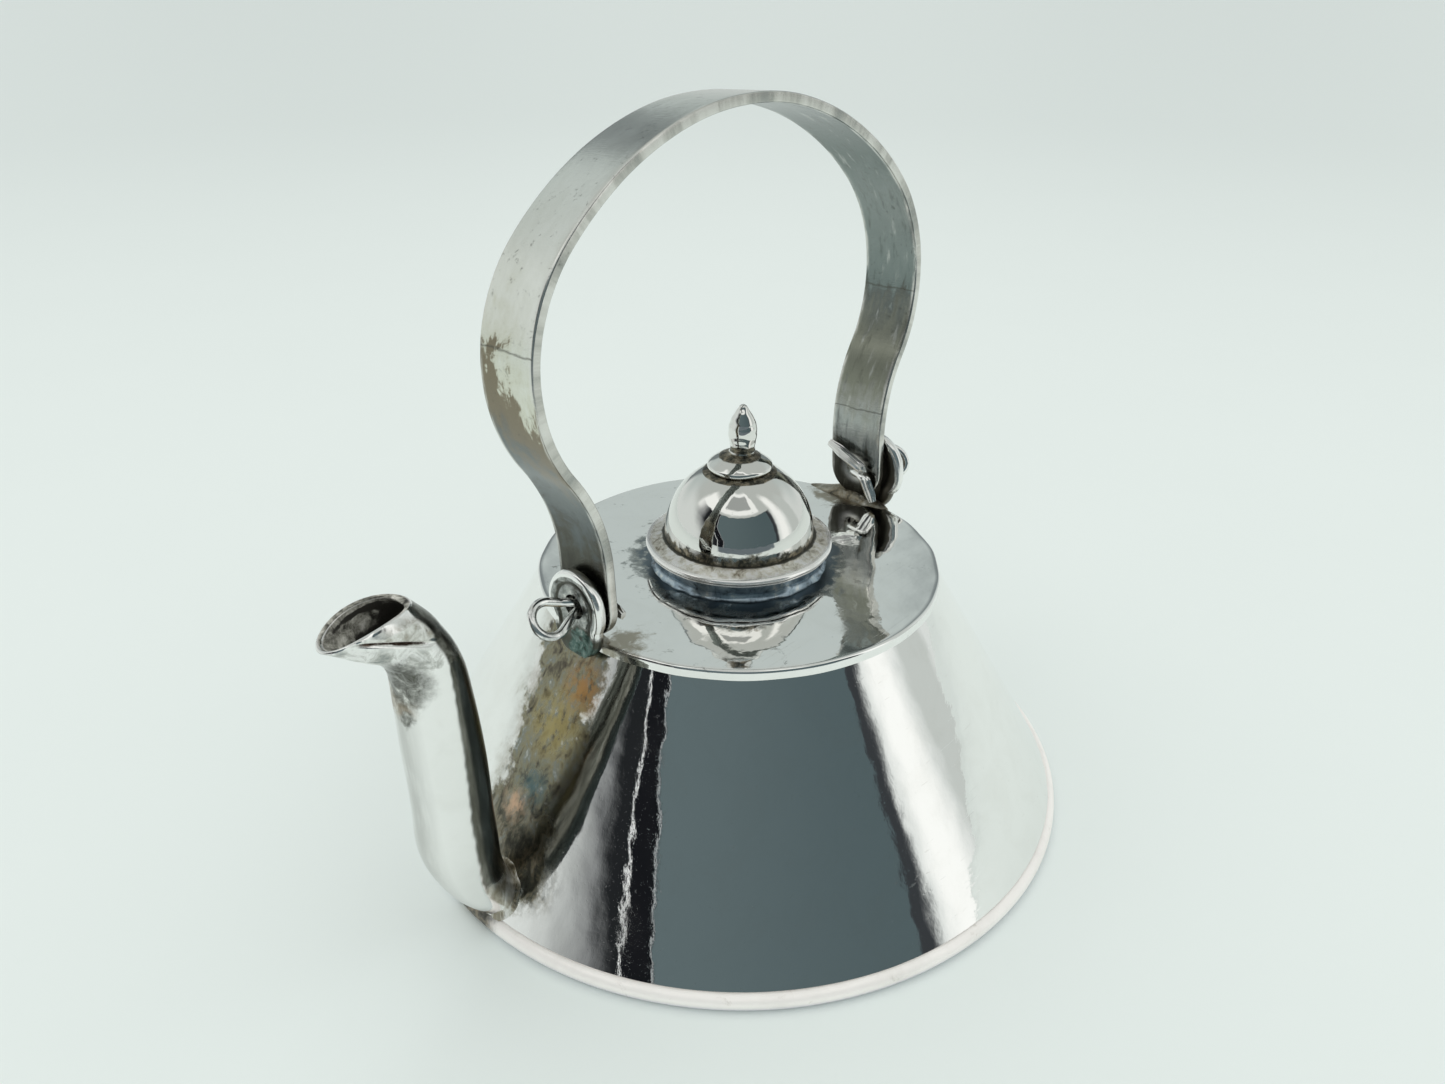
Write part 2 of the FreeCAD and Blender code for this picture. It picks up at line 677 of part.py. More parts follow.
dome_outside = primitive(
    "Part::Sphere", "dome_outside",
    {"Radius": "dims.dome_radius"}, {"z": "dims.dome_centre"})
dome_inside = primitive(
    "Part::Sphere", "dome_inside",
    {"Radius": "dims.dome_radius - dims.dome_sheet"}, {"z": "dims.dome_centre"})
above_flange = primitive(
    "Part::Cylinder", "above_flange", {"Radius": "dims.flange_radius", "Height": "dims.dome_radius * 2"},
    {"z": "dims.dome_foot"})
dome_half = doc.addObject("Part::Common", "dome_half")
dome_half.Base = cut("dome_shell", dome_outside, dome_inside)
dome_half.Tool = above_flange
peg_hole = primitive(
    "Part::Cylinder", "peg_hole", {"Radius": "dims.peg_hole_radius", "Height": "dims.dome_radius"},
    {"z": "dims.dome_centre + dims.dome_radius / 2"})
lid_dome = cut("lid_dome", dome_half, peg_hole)

cap_blank = revolved("cap_blank", [
    ("peg_hole_radius", "cap_underside"),
    ("cap_land", "cap_underside"),
    ("cap_land", "cap_lower_edge"),
    ("cap_radius", "cap_lower_edge", "cap_edge_round", 1),
    ("cap_radius", "cap_upper_edge"),
    ("cap_top_radius", "cap_top"),
    ("peg_hole_radius", "cap_top"),
])
lid_cap = cut("lid_cap", cap_blank, dome_outside)

lid_finial = revolved("lid_finial", [
    ("", "peg_end"),
    ("peg_radius", "peg_end"),
    ("peg_radius", "cap_top"),
    ("cap_top_radius", "cap_top"),
    ("finial_neck_radius", "finial_neck_height"),
    ("finial_skirt_radius", "finial_skirt_height", "finial_bud_curve", 1),
    ("finial_bud_radius", "finial_bud_height", "finial_taper_curve", 1),
    ("finial_tip_radius", "finial_tip_height"),
    ("", "finial_top"),
])

doc.recompute()

# The handle leans back a little in its rest pose
lean = FreeCAD.Rotation(FreeCAD.Vector(1, 0, 0), -size("handle_lean"))
pivot = FreeCAD.Vector(0, 0, size("pivot_height"))
handle_strap.Placement = FreeCAD.Placement(FreeCAD.Vector(0, 0, 0), lean, pivot)
doc.recompute()

PIECES = [
    body_wall, base_pan, shoulder_plate, lid_collar, collar_solder,
    spout_tube, spout_nose, spout_solder,
    front_lug, front_lug_solder, rear_lug, rear_lug_solder,
    handle_strap, front_pin, rear_pin,
    lid_bezel, lid_flange, lid_dome, lid_cap, lid_finial,
]

for thing in doc.Objects:
    if "Invalid" in thing.State or "Error" in thing.State:
        raise RuntimeError("%s did not build" % thing.Name)
for piece in PIECES:
    shape = piece.Shape
    if shape.isNull() or not shape.isValid():
        raise RuntimeError("%s has no valid shape" % piece.Label)
    print("%-18s solids %d volume %.3f" % (piece.Label, len(shape.Solids), shape.Volume))
    shape.exportStep("parts/%s.step" % piece.Label)
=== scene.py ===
import math

import bmesh
import bpy
import numpy as np
from mathutils import Matrix, Vector


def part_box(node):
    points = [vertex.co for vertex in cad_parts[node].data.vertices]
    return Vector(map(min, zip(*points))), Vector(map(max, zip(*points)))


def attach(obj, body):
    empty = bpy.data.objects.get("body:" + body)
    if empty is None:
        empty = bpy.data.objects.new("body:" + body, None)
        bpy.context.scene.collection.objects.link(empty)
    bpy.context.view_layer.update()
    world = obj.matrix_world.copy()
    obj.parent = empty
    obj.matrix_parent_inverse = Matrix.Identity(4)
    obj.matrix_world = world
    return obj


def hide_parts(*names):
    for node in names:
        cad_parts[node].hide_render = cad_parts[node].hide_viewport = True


# Miniature silver kettle: hand-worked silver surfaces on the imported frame.
# Shapes are worked out in millimetres and put into the meshes in metres.

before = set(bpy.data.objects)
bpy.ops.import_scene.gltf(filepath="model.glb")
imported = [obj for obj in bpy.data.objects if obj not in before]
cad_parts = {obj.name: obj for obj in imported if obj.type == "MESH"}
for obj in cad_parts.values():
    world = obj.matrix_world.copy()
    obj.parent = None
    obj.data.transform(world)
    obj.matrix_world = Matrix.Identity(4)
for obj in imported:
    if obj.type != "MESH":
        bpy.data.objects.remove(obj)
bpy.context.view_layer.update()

MM = 0.001
WELD = 0.0004 * MM
FULL_TURN = 2 * math.pi


def corners(node):
    """Lowest and highest corner of a frame node, in millimetres."""
    low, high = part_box(node)
    return np.array(low) / MM, np.array(high) / MM


# Sizes read from the frame
BASE_RADIUS = corners("base_pan")[1][0]
RIM_HEIGHT = corners("base_pan")[1][2]
WALL_FOOT_RADIUS = corners("body_wall")[1][0]
WALL_TOP = corners("body_wall")[1][2]
SHOULDER_RADIUS = corners("shoulder_plate")[1][0]
SHOULDER_UNDERSIDE, SHOULDER_TOP = corners("shoulder_plate")[0][2], corners("shoulder_plate")[1][2]
COLLAR_RADIUS, COLLAR_TOP = corners("lid_collar")[1][0], corners("lid_collar")[1][2]
COLLAR_SOLDER_RADIUS, COLLAR_SOLDER_TOP = corners("collar_solder")[1][0], corners("collar_solder")[1][2]
FLANGE_RADIUS = corners("lid_flange")[1][0]
FLANGE_UNDERSIDE, FLANGE_TOP = corners("lid_flange")[0][2], corners("lid_flange")[1][2]
BEZEL_RADIUS, BEZEL_FOOT = corners("lid_bezel")[1][0], corners("lid_bezel")[0][2]
FINIAL_TOP = corners("lid_finial")[1][2]

# Sizes of the body, as they were cut and turned
WALL_TOP_RADIUS = 14.6
WALL_SHEET = 0.7
WALL_LAP = 0.3
BASE_SHEET = 0.7
RIM_BORE = 23.3
RIM_ROUND = 0.6
SHOULDER_ROUND = 0.25
MOUTH_RADIUS = 5.5
COLLAR_ROUND = 0.1

# Sizes of the lid
BEZEL_BORE = 4.7
# The flange's double rim: inset, height, radius, first and last angle and count of points of each bead
FLANGE_BEADS = ((0.22, -0.2, 0.13, -110, 60, 9), (0.19, 0.03, 0.19, -50, 74, 10))
DOME_RADIUS = 5.4
DOME_CENTRE = 20.6
DOME_SHEET = 0.5
CAP_RADIUS = 2.35
CAP_LAND = 2.05
CAP_UNDERSIDE = 25.25
CAP_LOWER_EDGE = 25.55
CAP_EDGE_ROUND = 0.24
CAP_EDGE_END = 50
CAP_BULGE = np.array([1.75, 26.4])
CAP_TOP = 26.75
CAP_TOP_RADIUS = 0.85
PEG_RADIUS = 0.4
# Bud of the finial: heights and radii from its foot to just below the tip
BUD_HEIGHTS = (26.75, 26.95, 27.1, 27.4, 27.8, 28.15, 28.5, 28.9, 29.25, 29.6, 29.95, 30.18)
BUD_RADII = (0.95, 0.9, 0.86, 0.92, 0.98, 1.02, 1.02, 0.95, 0.82, 0.62, 0.4, 0.24)
BUD_SHIFT = (0.11, -0.13)

# Spout: reach from the axis, height, lean in degrees and radius of each section
SPOUT_SHEET = 0.45
SPOUT_FOOT = (23.16, 1.99, -48.4, 1.5)
SPOUT_ELBOW = (24.95, 4.8, -19.0, 1.85)
SPOUT_BELLY = (25.81, 9.0, -6.5, 2.25)
SPOUT_TUBE = (26.1, 14.85, -1.5, 2.4)
SPOUT_NECK = (26.45, 22.9, 0.0, 2.12)
# Swell of the tube's front at the elbow: place along the tube, spread and depth
SPOUT_SWELL = (0.33, 0.12, 0.45)
# Spout nose: reach, height, half length and half width of each oval
NOSE_NECK = (26.45, 22.9, 2.12, 2.12)
NOSE_BEND = (26.62, 23.25, 2.22, 2.07)
NOSE_MIDDLE = (27.9, 24.5, 2.75, 1.9)
NOSE_LIP = (29.45, 26.1, 2.95, 1.7)
NOSE_ARCH = 0.4
NOSE_TILT = 0.43
NOSE_DRAW_IN = 0.4
NOSE_LIP_SHEET = 0.25
NOSE_LIP_BACK = 0.35
# Crease on both sides of the nose: bearing from the back at a share of the rise, climb and half width
# in degrees, its depth and the height of the flap above it
CREASE_BEARING = 75
CREASE_RISE = 0.49
CREASE_CLIMB = 98
CREASE_HALF = 11
CREASE_DEPTH = 0.24
FLAP_HEIGHT = 0.16
# Eased bends of the neck: height, spread and depth
NECK_BACK = (23.5, 1.4, 0.44)
NECK_FRONT = (23.1, 0.8, 0.32)

# Lugs, handle and pins
PIVOT_HEIGHT = 21.0
PIVOT_HOLE = 0.85
LUG_HOLE = 0.85
HOLE_WEAR = 0.08
LUG_INNER_FACE = 14.95
LUG_SHEET = 0.8
LUG_EDGE_ROUND = 0.3
LUG_GROOVE = 0.16
LUG_FOOT = 16.5
LUG_NECK_HALF = 2.1
LUG_TONGUE_TOP = 19.4
FRONT_LUG_RADIUS = 2.45
REAR_LUG_RADIUS = 2.9
REAR_LUG_OFFSET = 0.8
# Solder at the lug feet: first and last bearing round the plate's edge, depth and rise
FRONT_HEAP = (-9.0, 9.0, 0.55, 0.55)
REAR_HEAP = (-14.0, 18.0, 0.95, 0.9)
STRAP_WIDTH = 4.7
STRAP_SHEET = 0.67
STRAP_HALF_SPAN = 14.32
STRAP_STRAIGHT_TOP = 23.5
STRAP_END = 18.65
STRAP_END_ROUND = 2.25
STRAP_EDGE_ROUND = 0.14
ARCH_CENTRE = 28.11
ARCH_RADIUS = 21.74
HAUNCH_RADIUS = 10.17
FOOT_RADIUS = 11.78
HANDLE_LEAN = math.radians(2.8)
WIRE_RADIUS = 0.25
STRAND_OFFSET = 0.28
LEG_PLANE = 13.42
LEG_BEND = 0.35
LEG_ROOT = 0.45
STRAND_END = 15.6
EYE_CENTRE = 17.68
EYE_RADIUS = 1.15
# Tips of the two legs of each pin from the pin's axis, sideways and up, and their sway at the root
FRONT_LEGS = ((2.0, 1.6), (-2.15, -0.75), 0.3)
REAR_LEGS = ((2.2, 1.76), (-2.35, -2.1), 1.35)
# Twist of each eye about the pin's axis and its lean to the side, in degrees
FRONT_EYE = (-42.0, 0.0)
REAR_EYE = (-20.0, 42.0)

# Camera, in a frame turned so that it looks along +Y
CAMERA_AZIMUTH = math.radians(48.5)
CAMERA_DISTANCE = 71.0065
CAMERA_HEIGHT = 57.2488
CAMERA_DROP = math.radians(27.151)
CAMERA_PAN = math.radians(0.851)
CAMERA_TILT = math.radians(-0.8)
CAMERA_ROLL = math.radians(0.796)
CAMERA_LENS = 27.405
CAMERA_FILM = 36.0


# Mesh tools

def grid(points, close_rows=False, close_columns=True):
    """A sheet of points, rows by columns by three, and whether each way runs back to its start."""
    return np.asarray(points, float), close_rows, close_columns


def quads_of(rows, columns, close_rows, close_columns, start):
    """Corner numbers of the squares between neighbouring rows and columns, counted from start."""
    row = np.arange(rows if close_rows else rows - 1)
    column = np.arange(columns if close_columns else columns - 1)
    row, column = (side.ravel() for side in np.meshgrid(row, column, indexing="ij"))
    next_row = (row + 1) % rows
    next_column = (column + 1) % columns
    ring = (row * columns + column, next_row * columns + column,
            next_row * columns + next_column, row * columns + next_column)
    return np.stack(ring, -1) + start


def piece(name, grids, finish, node, body="kettle", sharp=32, marks=None):
    """One welded mesh from sheets of points, riding on a body in place of its frame node."""
    start = 0
    points, quads = [], []
    for sheet, close_rows, close_columns in grids:
        rows, columns = sheet.shape[:2]
        points.append(sheet.reshape(-1, 3))
        quads.append(quads_of(rows, columns, close_rows, close_columns, start))
        start += rows * columns
    mesh = bpy.data.meshes.new(name)
    mesh.from_pydata((np.concatenate(points) * MM).tolist(), [], np.concatenate(quads).tolist())
    for mark, values in (marks or {}).items():
        layer = mesh.attributes.new(mark, "FLOAT", "POINT")
        layer.data.foreach_set("value", np.concatenate([v.ravel() for v in values]).astype(np.float32))
    work = bmesh.new()
    work.from_mesh(mesh)
    bmesh.ops.remove_doubles(work, verts=work.verts, dist=WELD)
    bmesh.ops.dissolve_degenerate(work, edges=work.edges, dist=WELD)
    bmesh.ops.recalc_face_normals(work, faces=work.faces)
    work.to_mesh(mesh)
    work.free()
    mesh.polygons.foreach_set("use_smooth", np.ones(len(mesh.polygons), bool))
    mesh.set_sharp_from_angle(angle=math.radians(sharp))
    mesh.materials.append(finish)
    thing = bpy.data.objects.new(name, mesh)
    bpy.context.scene.collection.objects.link(thing)
    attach(thing, body)
    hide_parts(node)


def straight(start, end, count):
    """Evenly spaced points from start up to, not including, end."""
    share = np.linspace(0, 1, count, endpoint=False)[:, None]
    return np.array(start, float) * (1 - share) + np.array(end, float) * share


def bow(centre, radius, first, last, count):
    """Points on a circle from the first angle up to, not including, the last, in degrees."""
    angle = np.radians(np.linspace(first, last, count, endpoint=False))
    return np.array(centre, float) + radius * np.stack([np.cos(angle), np.sin(angle)], -1)


def outline(*runs):
    """A closed outline of radius and height. A run is a row of points, or the radius and height where a
    straight run to the next one starts and its count of points."""
    starts = [run[:2] if isinstance(run, tuple) else run[0] for run in runs]
    ends = starts[1:] + starts[:1]
    return np.concatenate([
        straight(start, end, run[2]) if isinstance(run, tuple) else run
        for run, start, end in zip(runs, starts, ends)
    ])


def uneven(angle, along, seed, turns=6, rises=2.0, count=9):
    """Unevenness of hand work: the mean of sine waves with whole turns round the piece."""
    draw = np.random.default_rng(seed)
    total = np.zeros(np.broadcast(angle, along).shape)
    for _ in range(count):
        wave = draw.integers(0, turns + 1) * angle + FULL_TURN * draw.uniform(-rises, rises) * along
        total += np.sin(wave + draw.uniform(0, FULL_TURN))
    return total / count


def turned(profile, steps=288, dent=None):
    """A closed outline of radius and height, carried round the upright axis. The dent moves it outwards."""
    angle = np.linspace(0, FULL_TURN, steps, endpoint=False)[:, None]
    along = np.linspace(0, 1, len(profile))[None, :]
    radius = np.broadcast_to(profile[:, 0], (steps, len(profile))).copy()
    height = np.broadcast_to(profile[:, 1], (steps, len(profile))).copy()
    if dent:
        push_out, push_up = dent(angle, along, radius, height)
        radius = np.maximum(radius + push_out * (radius > 0), 0)
        height = height + push_up
    points = np.stack([radius * np.cos(angle), radius * np.sin(angle), height], -1)
    return grid(points, close_rows=True)


def smooth_through(knots, values, places):
    """Cubic curve through the values at the knots, with each knot's slope taken from its neighbours."""
    slope = np.gradient(values, knots, axis=0)
    left = np.clip(np.searchsorted(knots, places, side="right") - 1, 0, len(knots) - 2)
    width = (knots[left + 1] - knots[left])[:, None]
    share = (places - knots[left])[:, None] / width
    rest = 1 - share
    return (values[left] * (1 + 2 * share) * rest ** 2 + values[left + 1] * (1 + 2 * rest) * share ** 2
            + width * (slope[left] * share * rest ** 2 - slope[left + 1] * rest * share ** 2))


# Material tools

class Nodes:
    """Short calls that add nodes to one tree and give back their outputs."""

    def __init__(self, tree):
        self.tree = tree

    def add(self, kind, inputs=None, output=0, **settings):
        node = self.tree.nodes.new(kind)
        for name, value in settings.items():
            setattr(node, name, value)
        for socket, value in (inputs or {}).items():
            self.join(node.inputs[socket], value)
        return node.outputs[output]

    def join(self, socket, value):
        if isinstance(value, bpy.types.NodeSocket):
            self.tree.links.new(value, socket)
        else:
            socket.default_value = value

    def math(self, operation, first, second=0.0):
        return self.add("ShaderNodeMath", {0: first, 1: second}, operation=operation)

    def plus(self, base, value, times):
        """The base with a multiple of the value added."""
        return self.math("ADD", base, self.math("MULTIPLY", value, times))

    def vector(self, operation, first, second=(0.0, 0.0, 0.0), output=0):
        return self.add("ShaderNodeVectorMath", {0: first, 1: second}, output, operation=operation)

    def scaled(self, place, times):
        """All three coordinates of a place, multiplied."""
        return self.add("ShaderNodeVectorMath", {0: place, "Scale": times}, operation="SCALE")

    def ramp(self, value, start, end, low=0.0, high=1.0):
        """Smooth change from low to high as the value goes from start to end."""
        inputs = {"Value": value, "From Min": start, "From Max": end, "To Min": low, "To Max": high}
        return self.add("ShaderNodeMapRange", inputs, interpolation_type="SMOOTHSTEP")

    def window(self, value, start, end, soft):
        """One between start and end, nothing outside, with soft edges."""
        rise = self.ramp(value, start - soft, start + soft)
        fall = self.ramp(value, end + soft, end - soft)
        return self.math("MULTIPLY", rise, fall)

    def mix(self, share, first, second):
        inputs = {0: share, 6: first, 7: second}
        return self.add("ShaderNodeMix", inputs, 2, data_type="RGBA")

    def parts(self, place):
        """The three coordinates of a place."""
        node = self.tree.nodes.new("ShaderNodeSeparateXYZ")
        self.join(node.inputs[0], place)
        return node.outputs

    def bands(self, value, stops):
        """Colours that run into one another along a value, each at its own place."""
        first, last = stops[0][0], stops[-1][0]
        share = self.add("ShaderNodeMapRange", {"Value": value, "From Min": first, "From Max": last})
        node = self.tree.nodes.new("ShaderNodeValToRGB")
        self.join(node.inputs[0], share)
        steps = node.color_ramp.elements
        steps[0].color = stops[0][1]
        steps[1].color = stops[-1][1]
        for at, tone in stops[1:-1]:
            steps.new((at - first) / (last - first)).color = tone
        return node.outputs[0]

    def product(self, *masks):
        """All the masks at once."""
        result = masks[0]
        for mask in masks[1:]:
            result = self.math("MULTIPLY", result, mask)
        return result

    def noise(self, place, scale, detail=3.0, roughness=0.55, distortion=0.0):
        inputs = {"Vector": place, "Scale": scale, "Detail": detail, "Roughness": roughness,
                  "Distortion": distortion}
        return self.add("ShaderNodeTexNoise", inputs)

    def stretched(self, place, scale, turn=(0, 0, 0)):
        """The place turned by three angles in degrees and stretched, for marks with a direction."""
        inputs = {"Vector": place, "Rotation": [math.radians(a) for a in turn], "Scale": scale}
        return self.add("ShaderNodeMapping", inputs, vector_type="POINT")

    def from_camera(self, place):
        """Coordinates of a place in the frame in which the camera looks along +Y."""
        inputs = {"Vector": place, "Angle": CAMERA_AZIMUTH}
        return self.parts(self.add("ShaderNodeVectorRotate", inputs, rotation_type="Z_AXIS"))

    def near(self, place, centre, inner, outer):
        """One within the inner distance of a point and nothing beyond the outer."""
        gap = self.vector("DISTANCE", place, centre, output=1)
        return self.ramp(gap, outer, inner)


def colour(red, green, blue):
    return (red, green, blue, 1.0)


SILVER = colour(0.93, 0.925, 0.905)
HAZE = colour(0.76, 0.75, 0.71)
GREY = colour(0.3, 0.32, 0.31)
PEWTER = colour(0.38, 0.38, 0.355)
LEAD = colour(0.2, 0.2, 0.185)
SLATE = colour(0.13, 0.165, 0.19)
TAN = colour(0.42, 0.39, 0.32)
BROWN = colour(0.26, 0.225, 0.165)
OXIDE = colour(0.085, 0.085, 0.07)
# Black for soot and for painted shade.
SOOT_AND_SHADE = colour(0.035, 0.033, 0.027)
COPPER = colour(0.66, 0.44, 0.3)
VERDIGRIS = colour(0.06, 0.105, 0.09)


class Finish:
    """A silver finish that is built up in layers: polish, scratches, then stains and painted shade."""

    def __init__(self, name, gloss=(0.025, 0.08), haze=0.2, ripple=1.0, scratches=1.0, tint=SILVER):
        self.material = bpy.data.materials.new(name)
        self.material.use_nodes = True
        self.nodes = Nodes(self.material.node_tree)
        self.shader = self.material.node_tree.nodes["Principled BSDF"]
        self.shader.inputs["Metallic"].default_value = 1.0
        nodes = self.nodes
        place = nodes.add("ShaderNodeTexCoord", output=3)
        self.place = nodes.scaled(place, 1 / MM)
        self.torn = self.shaken(0.5, 5.0)
        self.fretted = self.shaken(1.1, 1.6)
        self.smear = nodes.ramp(nodes.noise(self.place, 0.35, 5.0, 0.6, 0.5), 0.42, 0.72)
        self.grain = nodes.noise(self.place, 0.9, 8.0, 0.66, 0.4)
        self.height = nodes.math("MULTIPLY", nodes.noise(self.place, 0.9, 2.0), 0.5 * ripple)
        self.rough = nodes.ramp(self.smear, 0.0, 1.0, *gloss)
        self.tone = nodes.mix(nodes.math("MULTIPLY", self.smear, haze), tint, HAZE)
        for turn in ((12, 35, 20), (75, -20, 60), (40, 80, -35)):
            self.scratch(turn, scratches)

    def shaken(self, scale, reach):
        """The place pushed about by a torn noise, which makes the outlines of stains uneven."""
        nodes = self.nodes
        inputs = {"Vector": self.place, "Scale": scale, "Detail": 7.0, "Roughness": 0.62}
        push = nodes.vector("SUBTRACT", nodes.add("ShaderNodeTexNoise", inputs, 1), (0.5, 0.5, 0.5))
        return nodes.vector("ADD", self.place, nodes.scaled(push, reach))

    def scratch(self, turn, strength):
        """Fine straight polishing scratches in one direction."""
        nodes = self.nodes
        place = nodes.stretched(self.place, (0.1, 6.0, 6.0), turn)
        line = nodes.ramp(nodes.noise(place, 1.0, 2.0, 0.5), 0.68, 0.78)
        self.raise_by(line, -0.08 * strength)
        self.rough = nodes.plus(self.rough, line, 0.05 * strength)

    def raise_by(self, mark, amount):
        """Add a mark to the relief."""
        self.height = self.nodes.plus(self.height, mark, amount)

    def stain_and_shade(self, mask, tone, dullness=0.3, ragged=0.0, strength=1.0):
        """A stain over the silver, which also lays painted shade and painted reflections. Ragged eats into
        its edge with the grain of the surface.
        """
        nodes = self.nodes
        if strength < 1:
            mask = nodes.math("MULTIPLY", mask, strength)
        if ragged:
            worn = nodes.math("SUBTRACT", self.grain, 0.5)
            mask = nodes.ramp(nodes.plus(mask, worn, 3.0 * ragged), 0.25, 0.75)
        self.tone = nodes.mix(mask, self.tone, tone)
        shine = nodes.math("MULTIPLY", self.rough, nodes.math("SUBTRACT", 1.0, mask))
        self.rough = nodes.plus(shine, mask, dullness)

    def mottled(self, scale, *tones, upright=1.0):
        """Patchy tarnish and painted shade: tones that run into one another from the rarest dark to the
        rarest light.
        """
        place = self.nodes.stretched(self.place, (1.0, 1.0, upright))
        patches = self.nodes.noise(place, scale, 7.0, 0.68, 0.5)
        stops = np.linspace(0.34, 0.68, len(tones))
        return self.nodes.bands(patches, tuple(zip(stops.tolist(), tones)))

    def mark(self, name):
        """A value that the piece carries on its surface."""
        return self.nodes.add("ShaderNodeAttribute", output=2, attribute_name=name)

    def from_axis(self, place):
        """Distance of a place from the kettle's upright axis."""
        flat = self.nodes.vector("MULTIPLY", place, (1.0, 1.0, 0.0))
        return self.nodes.vector("LENGTH", flat, output=1)

    def done(self, relief=0.012):
        """Join the layers to the shader. Relief is the height of the marks in millimetres."""
        nodes = self.nodes
        bump = nodes.add("ShaderNodeBump", {"Height": self.height, "Distance": relief * MM, "Strength": 1.0})
        nodes.join(self.shader.inputs["Base Color"], self.tone)
        nodes.join(self.shader.inputs["Roughness"], self.rough)
        nodes.join(self.shader.inputs["Normal"], bump)
        return self.material


def base_finish():
    """Rim that is rubbed dull and pale by the table."""
    finish = Finish("base_silver", gloss=(0.34, 0.46), haze=0.4, tint=colour(0.94, 0.925, 0.885))
    finish.shader.inputs["Metallic"].default_value = 0.15
    nodes = finish.nodes
    height = nodes.parts(finish.place)[2]
    finish.stain_and_shade(nodes.ramp(height, 0.7, 0.2), colour(0.7, 0.69, 0.74), 0.4)
    finish.stain_and_shade(nodes.ramp(finish.grain, 0.6, 0.74), TAN, 0.4, strength=0.4)
    # Dark solder stain on the rim under the spout's foot, with painted shadow under the spout's elbow.
    solder_stain_and_shadow = finish.mottled(1.6, SOOT_AND_SHADE, OXIDE, BROWN, TAN)
    finish.stain_and_shade(nodes.near(finish.fretted, (-24.9, 1.2, 0.6), 1.2, 2.6), solder_stain_and_shadow, 0.4)
    return finish.done()


def wall_finish():
    """Bright rolled sheet with an upright grain, and mottled heat colours on the strip behind the spout
    that the polishing cloth can't reach."""
    finish = Finish("wall_silver", gloss=(0.02, 0.06), ripple=0.7)
    nodes = finish.nodes
    upright = nodes.stretched(finish.place, (3.6, 3.6, 1.1))
    finish.raise_by(nodes.noise(upright, 1.0, 3.0, 0.6), 0.15)
    waves = nodes.stretched(finish.place, (0.5, 0.5, 0.3))
    finish.raise_by(nodes.noise(waves, 1.0, 1.0), 2.6)
    for turn in ((20, 50, 10), (65, 15, 70)):
        hairline = nodes.stretched(finish.place, (0.08, 4.0, 4.0), turn)
        line = nodes.ramp(nodes.noise(hairline, 1.0, 2.0, 0.5), 0.71, 0.76)
        finish.stain_and_shade(line, HAZE, 0.4, strength=0.3)
    specks = nodes.ramp(nodes.noise(finish.place, 3.0, 3.0, 0.7), 0.74, 0.79)
    finish.stain_and_shade(specks, HAZE, 0.5, strength=0.35)
    x, y, z = nodes.parts(finish.torn)
    reach = nodes.plus(y, z, -0.14)
    right = nodes.math("ADD", y, nodes.ramp(z, 8.0, 5.0, 0.0, 1.2))
    strip = nodes.product(nodes.ramp(x, -4.0, -8.0), nodes.ramp(right, -2.9, -1.1), nodes.ramp(z, 2.6, 3.6))
    wash = nodes.product(strip, nodes.ramp(reach, 4.4, 1.8))
    faint = finish.mottled(0.7, BROWN, TAN, HAZE, HAZE, upright=0.4)
    finish.stain_and_shade(wash, faint, 0.2, strength=0.6)
    behind = nodes.product(strip, nodes.ramp(reach, 3.2, 1.2))
    heat = finish.mottled(
        1.3, colour(0.05, 0.045, 0.04), colour(0.15, 0.135, 0.1), colour(0.27, 0.25, 0.17),
        colour(0.22, 0.235, 0.215), colour(0.55, 0.56, 0.52), upright=0.45,
    )
    finish.stain_and_shade(behind, heat, 0.26, 0.5)
    low = nodes.product(behind, nodes.ramp(z, 10.0, 6.0))
    burnt = finish.mottled(1.3, SOOT_AND_SHADE, OXIDE, BROWN, GREY, upright=0.4)
    finish.stain_and_shade(low, burnt, 0.32, strength=0.8)
    streak = nodes.stretched(finish.place, (1.0, 1.0, 0.4))
    streaks = nodes.ramp(nodes.noise(streak, 1.7, 6.0, 0.65), 0.36, 0.56)
    spots = (
        ((-15.9, -0.8, 15.2), 2.6, colour(0.42, 0.22, 0.08), 0.9),
        ((-17.4, 0.4, 12.6), 3.8, colour(0.42, 0.34, 0.14), 0.75),
        ((-19.9, 0.2, 9.0), 2.2, colour(0.08, 0.14, 0.15), 0.8),
        ((-20.7, 1.3, 7.4), 1.6, COPPER, 0.85),
        ((-22.4, 0.0, 5.8), 2.6, SOOT_AND_SHADE, 0.9),
        ((-23.0, -2.3, 4.6), 3.2, burnt, 0.95),
    )
    for place, reach, tone, strength in spots:
        spot = nodes.product(nodes.near(finish.fretted, place, 0.0, reach), streaks)
        finish.stain_and_shade(spot, tone, 0.3, strength=strength)
    return finish.done()


def shoulder_finish():
    """Flat bright plate, with old tarnish round the collar and at both lugs."""
    finish = Finish("shoulder_silver", gloss=(0.03, 0.08))
    nodes = finish.nodes
    finish.raise_by(nodes.noise(finish.place, 0.45, 0.5), 3.2)
    finish.stain_and_shade(nodes.ramp(finish.from_axis(finish.torn), 9.2, 6.8), GREY, 0.28, 0.7, strength=0.85)
    finish.stain_and_shade(nodes.ramp(finish.from_axis(finish.torn), 7.9, 6.5), SLATE, 0.3, 0.7)
    front = nodes.near(finish.fretted, (-13.6, -2.2, 18.3), 0.3, 3.4)
    finish.stain_and_shade(front, TAN, 0.3, 0.6, strength=0.75)
    rear = nodes.near(finish.fretted, (14.4, 0.8, 18.3), 1.0, 4.6)
    finish.stain_and_shade(rear, colour(0.33, 0.3, 0.24), 0.3, 0.6, strength=0.85)
    return finish.done()


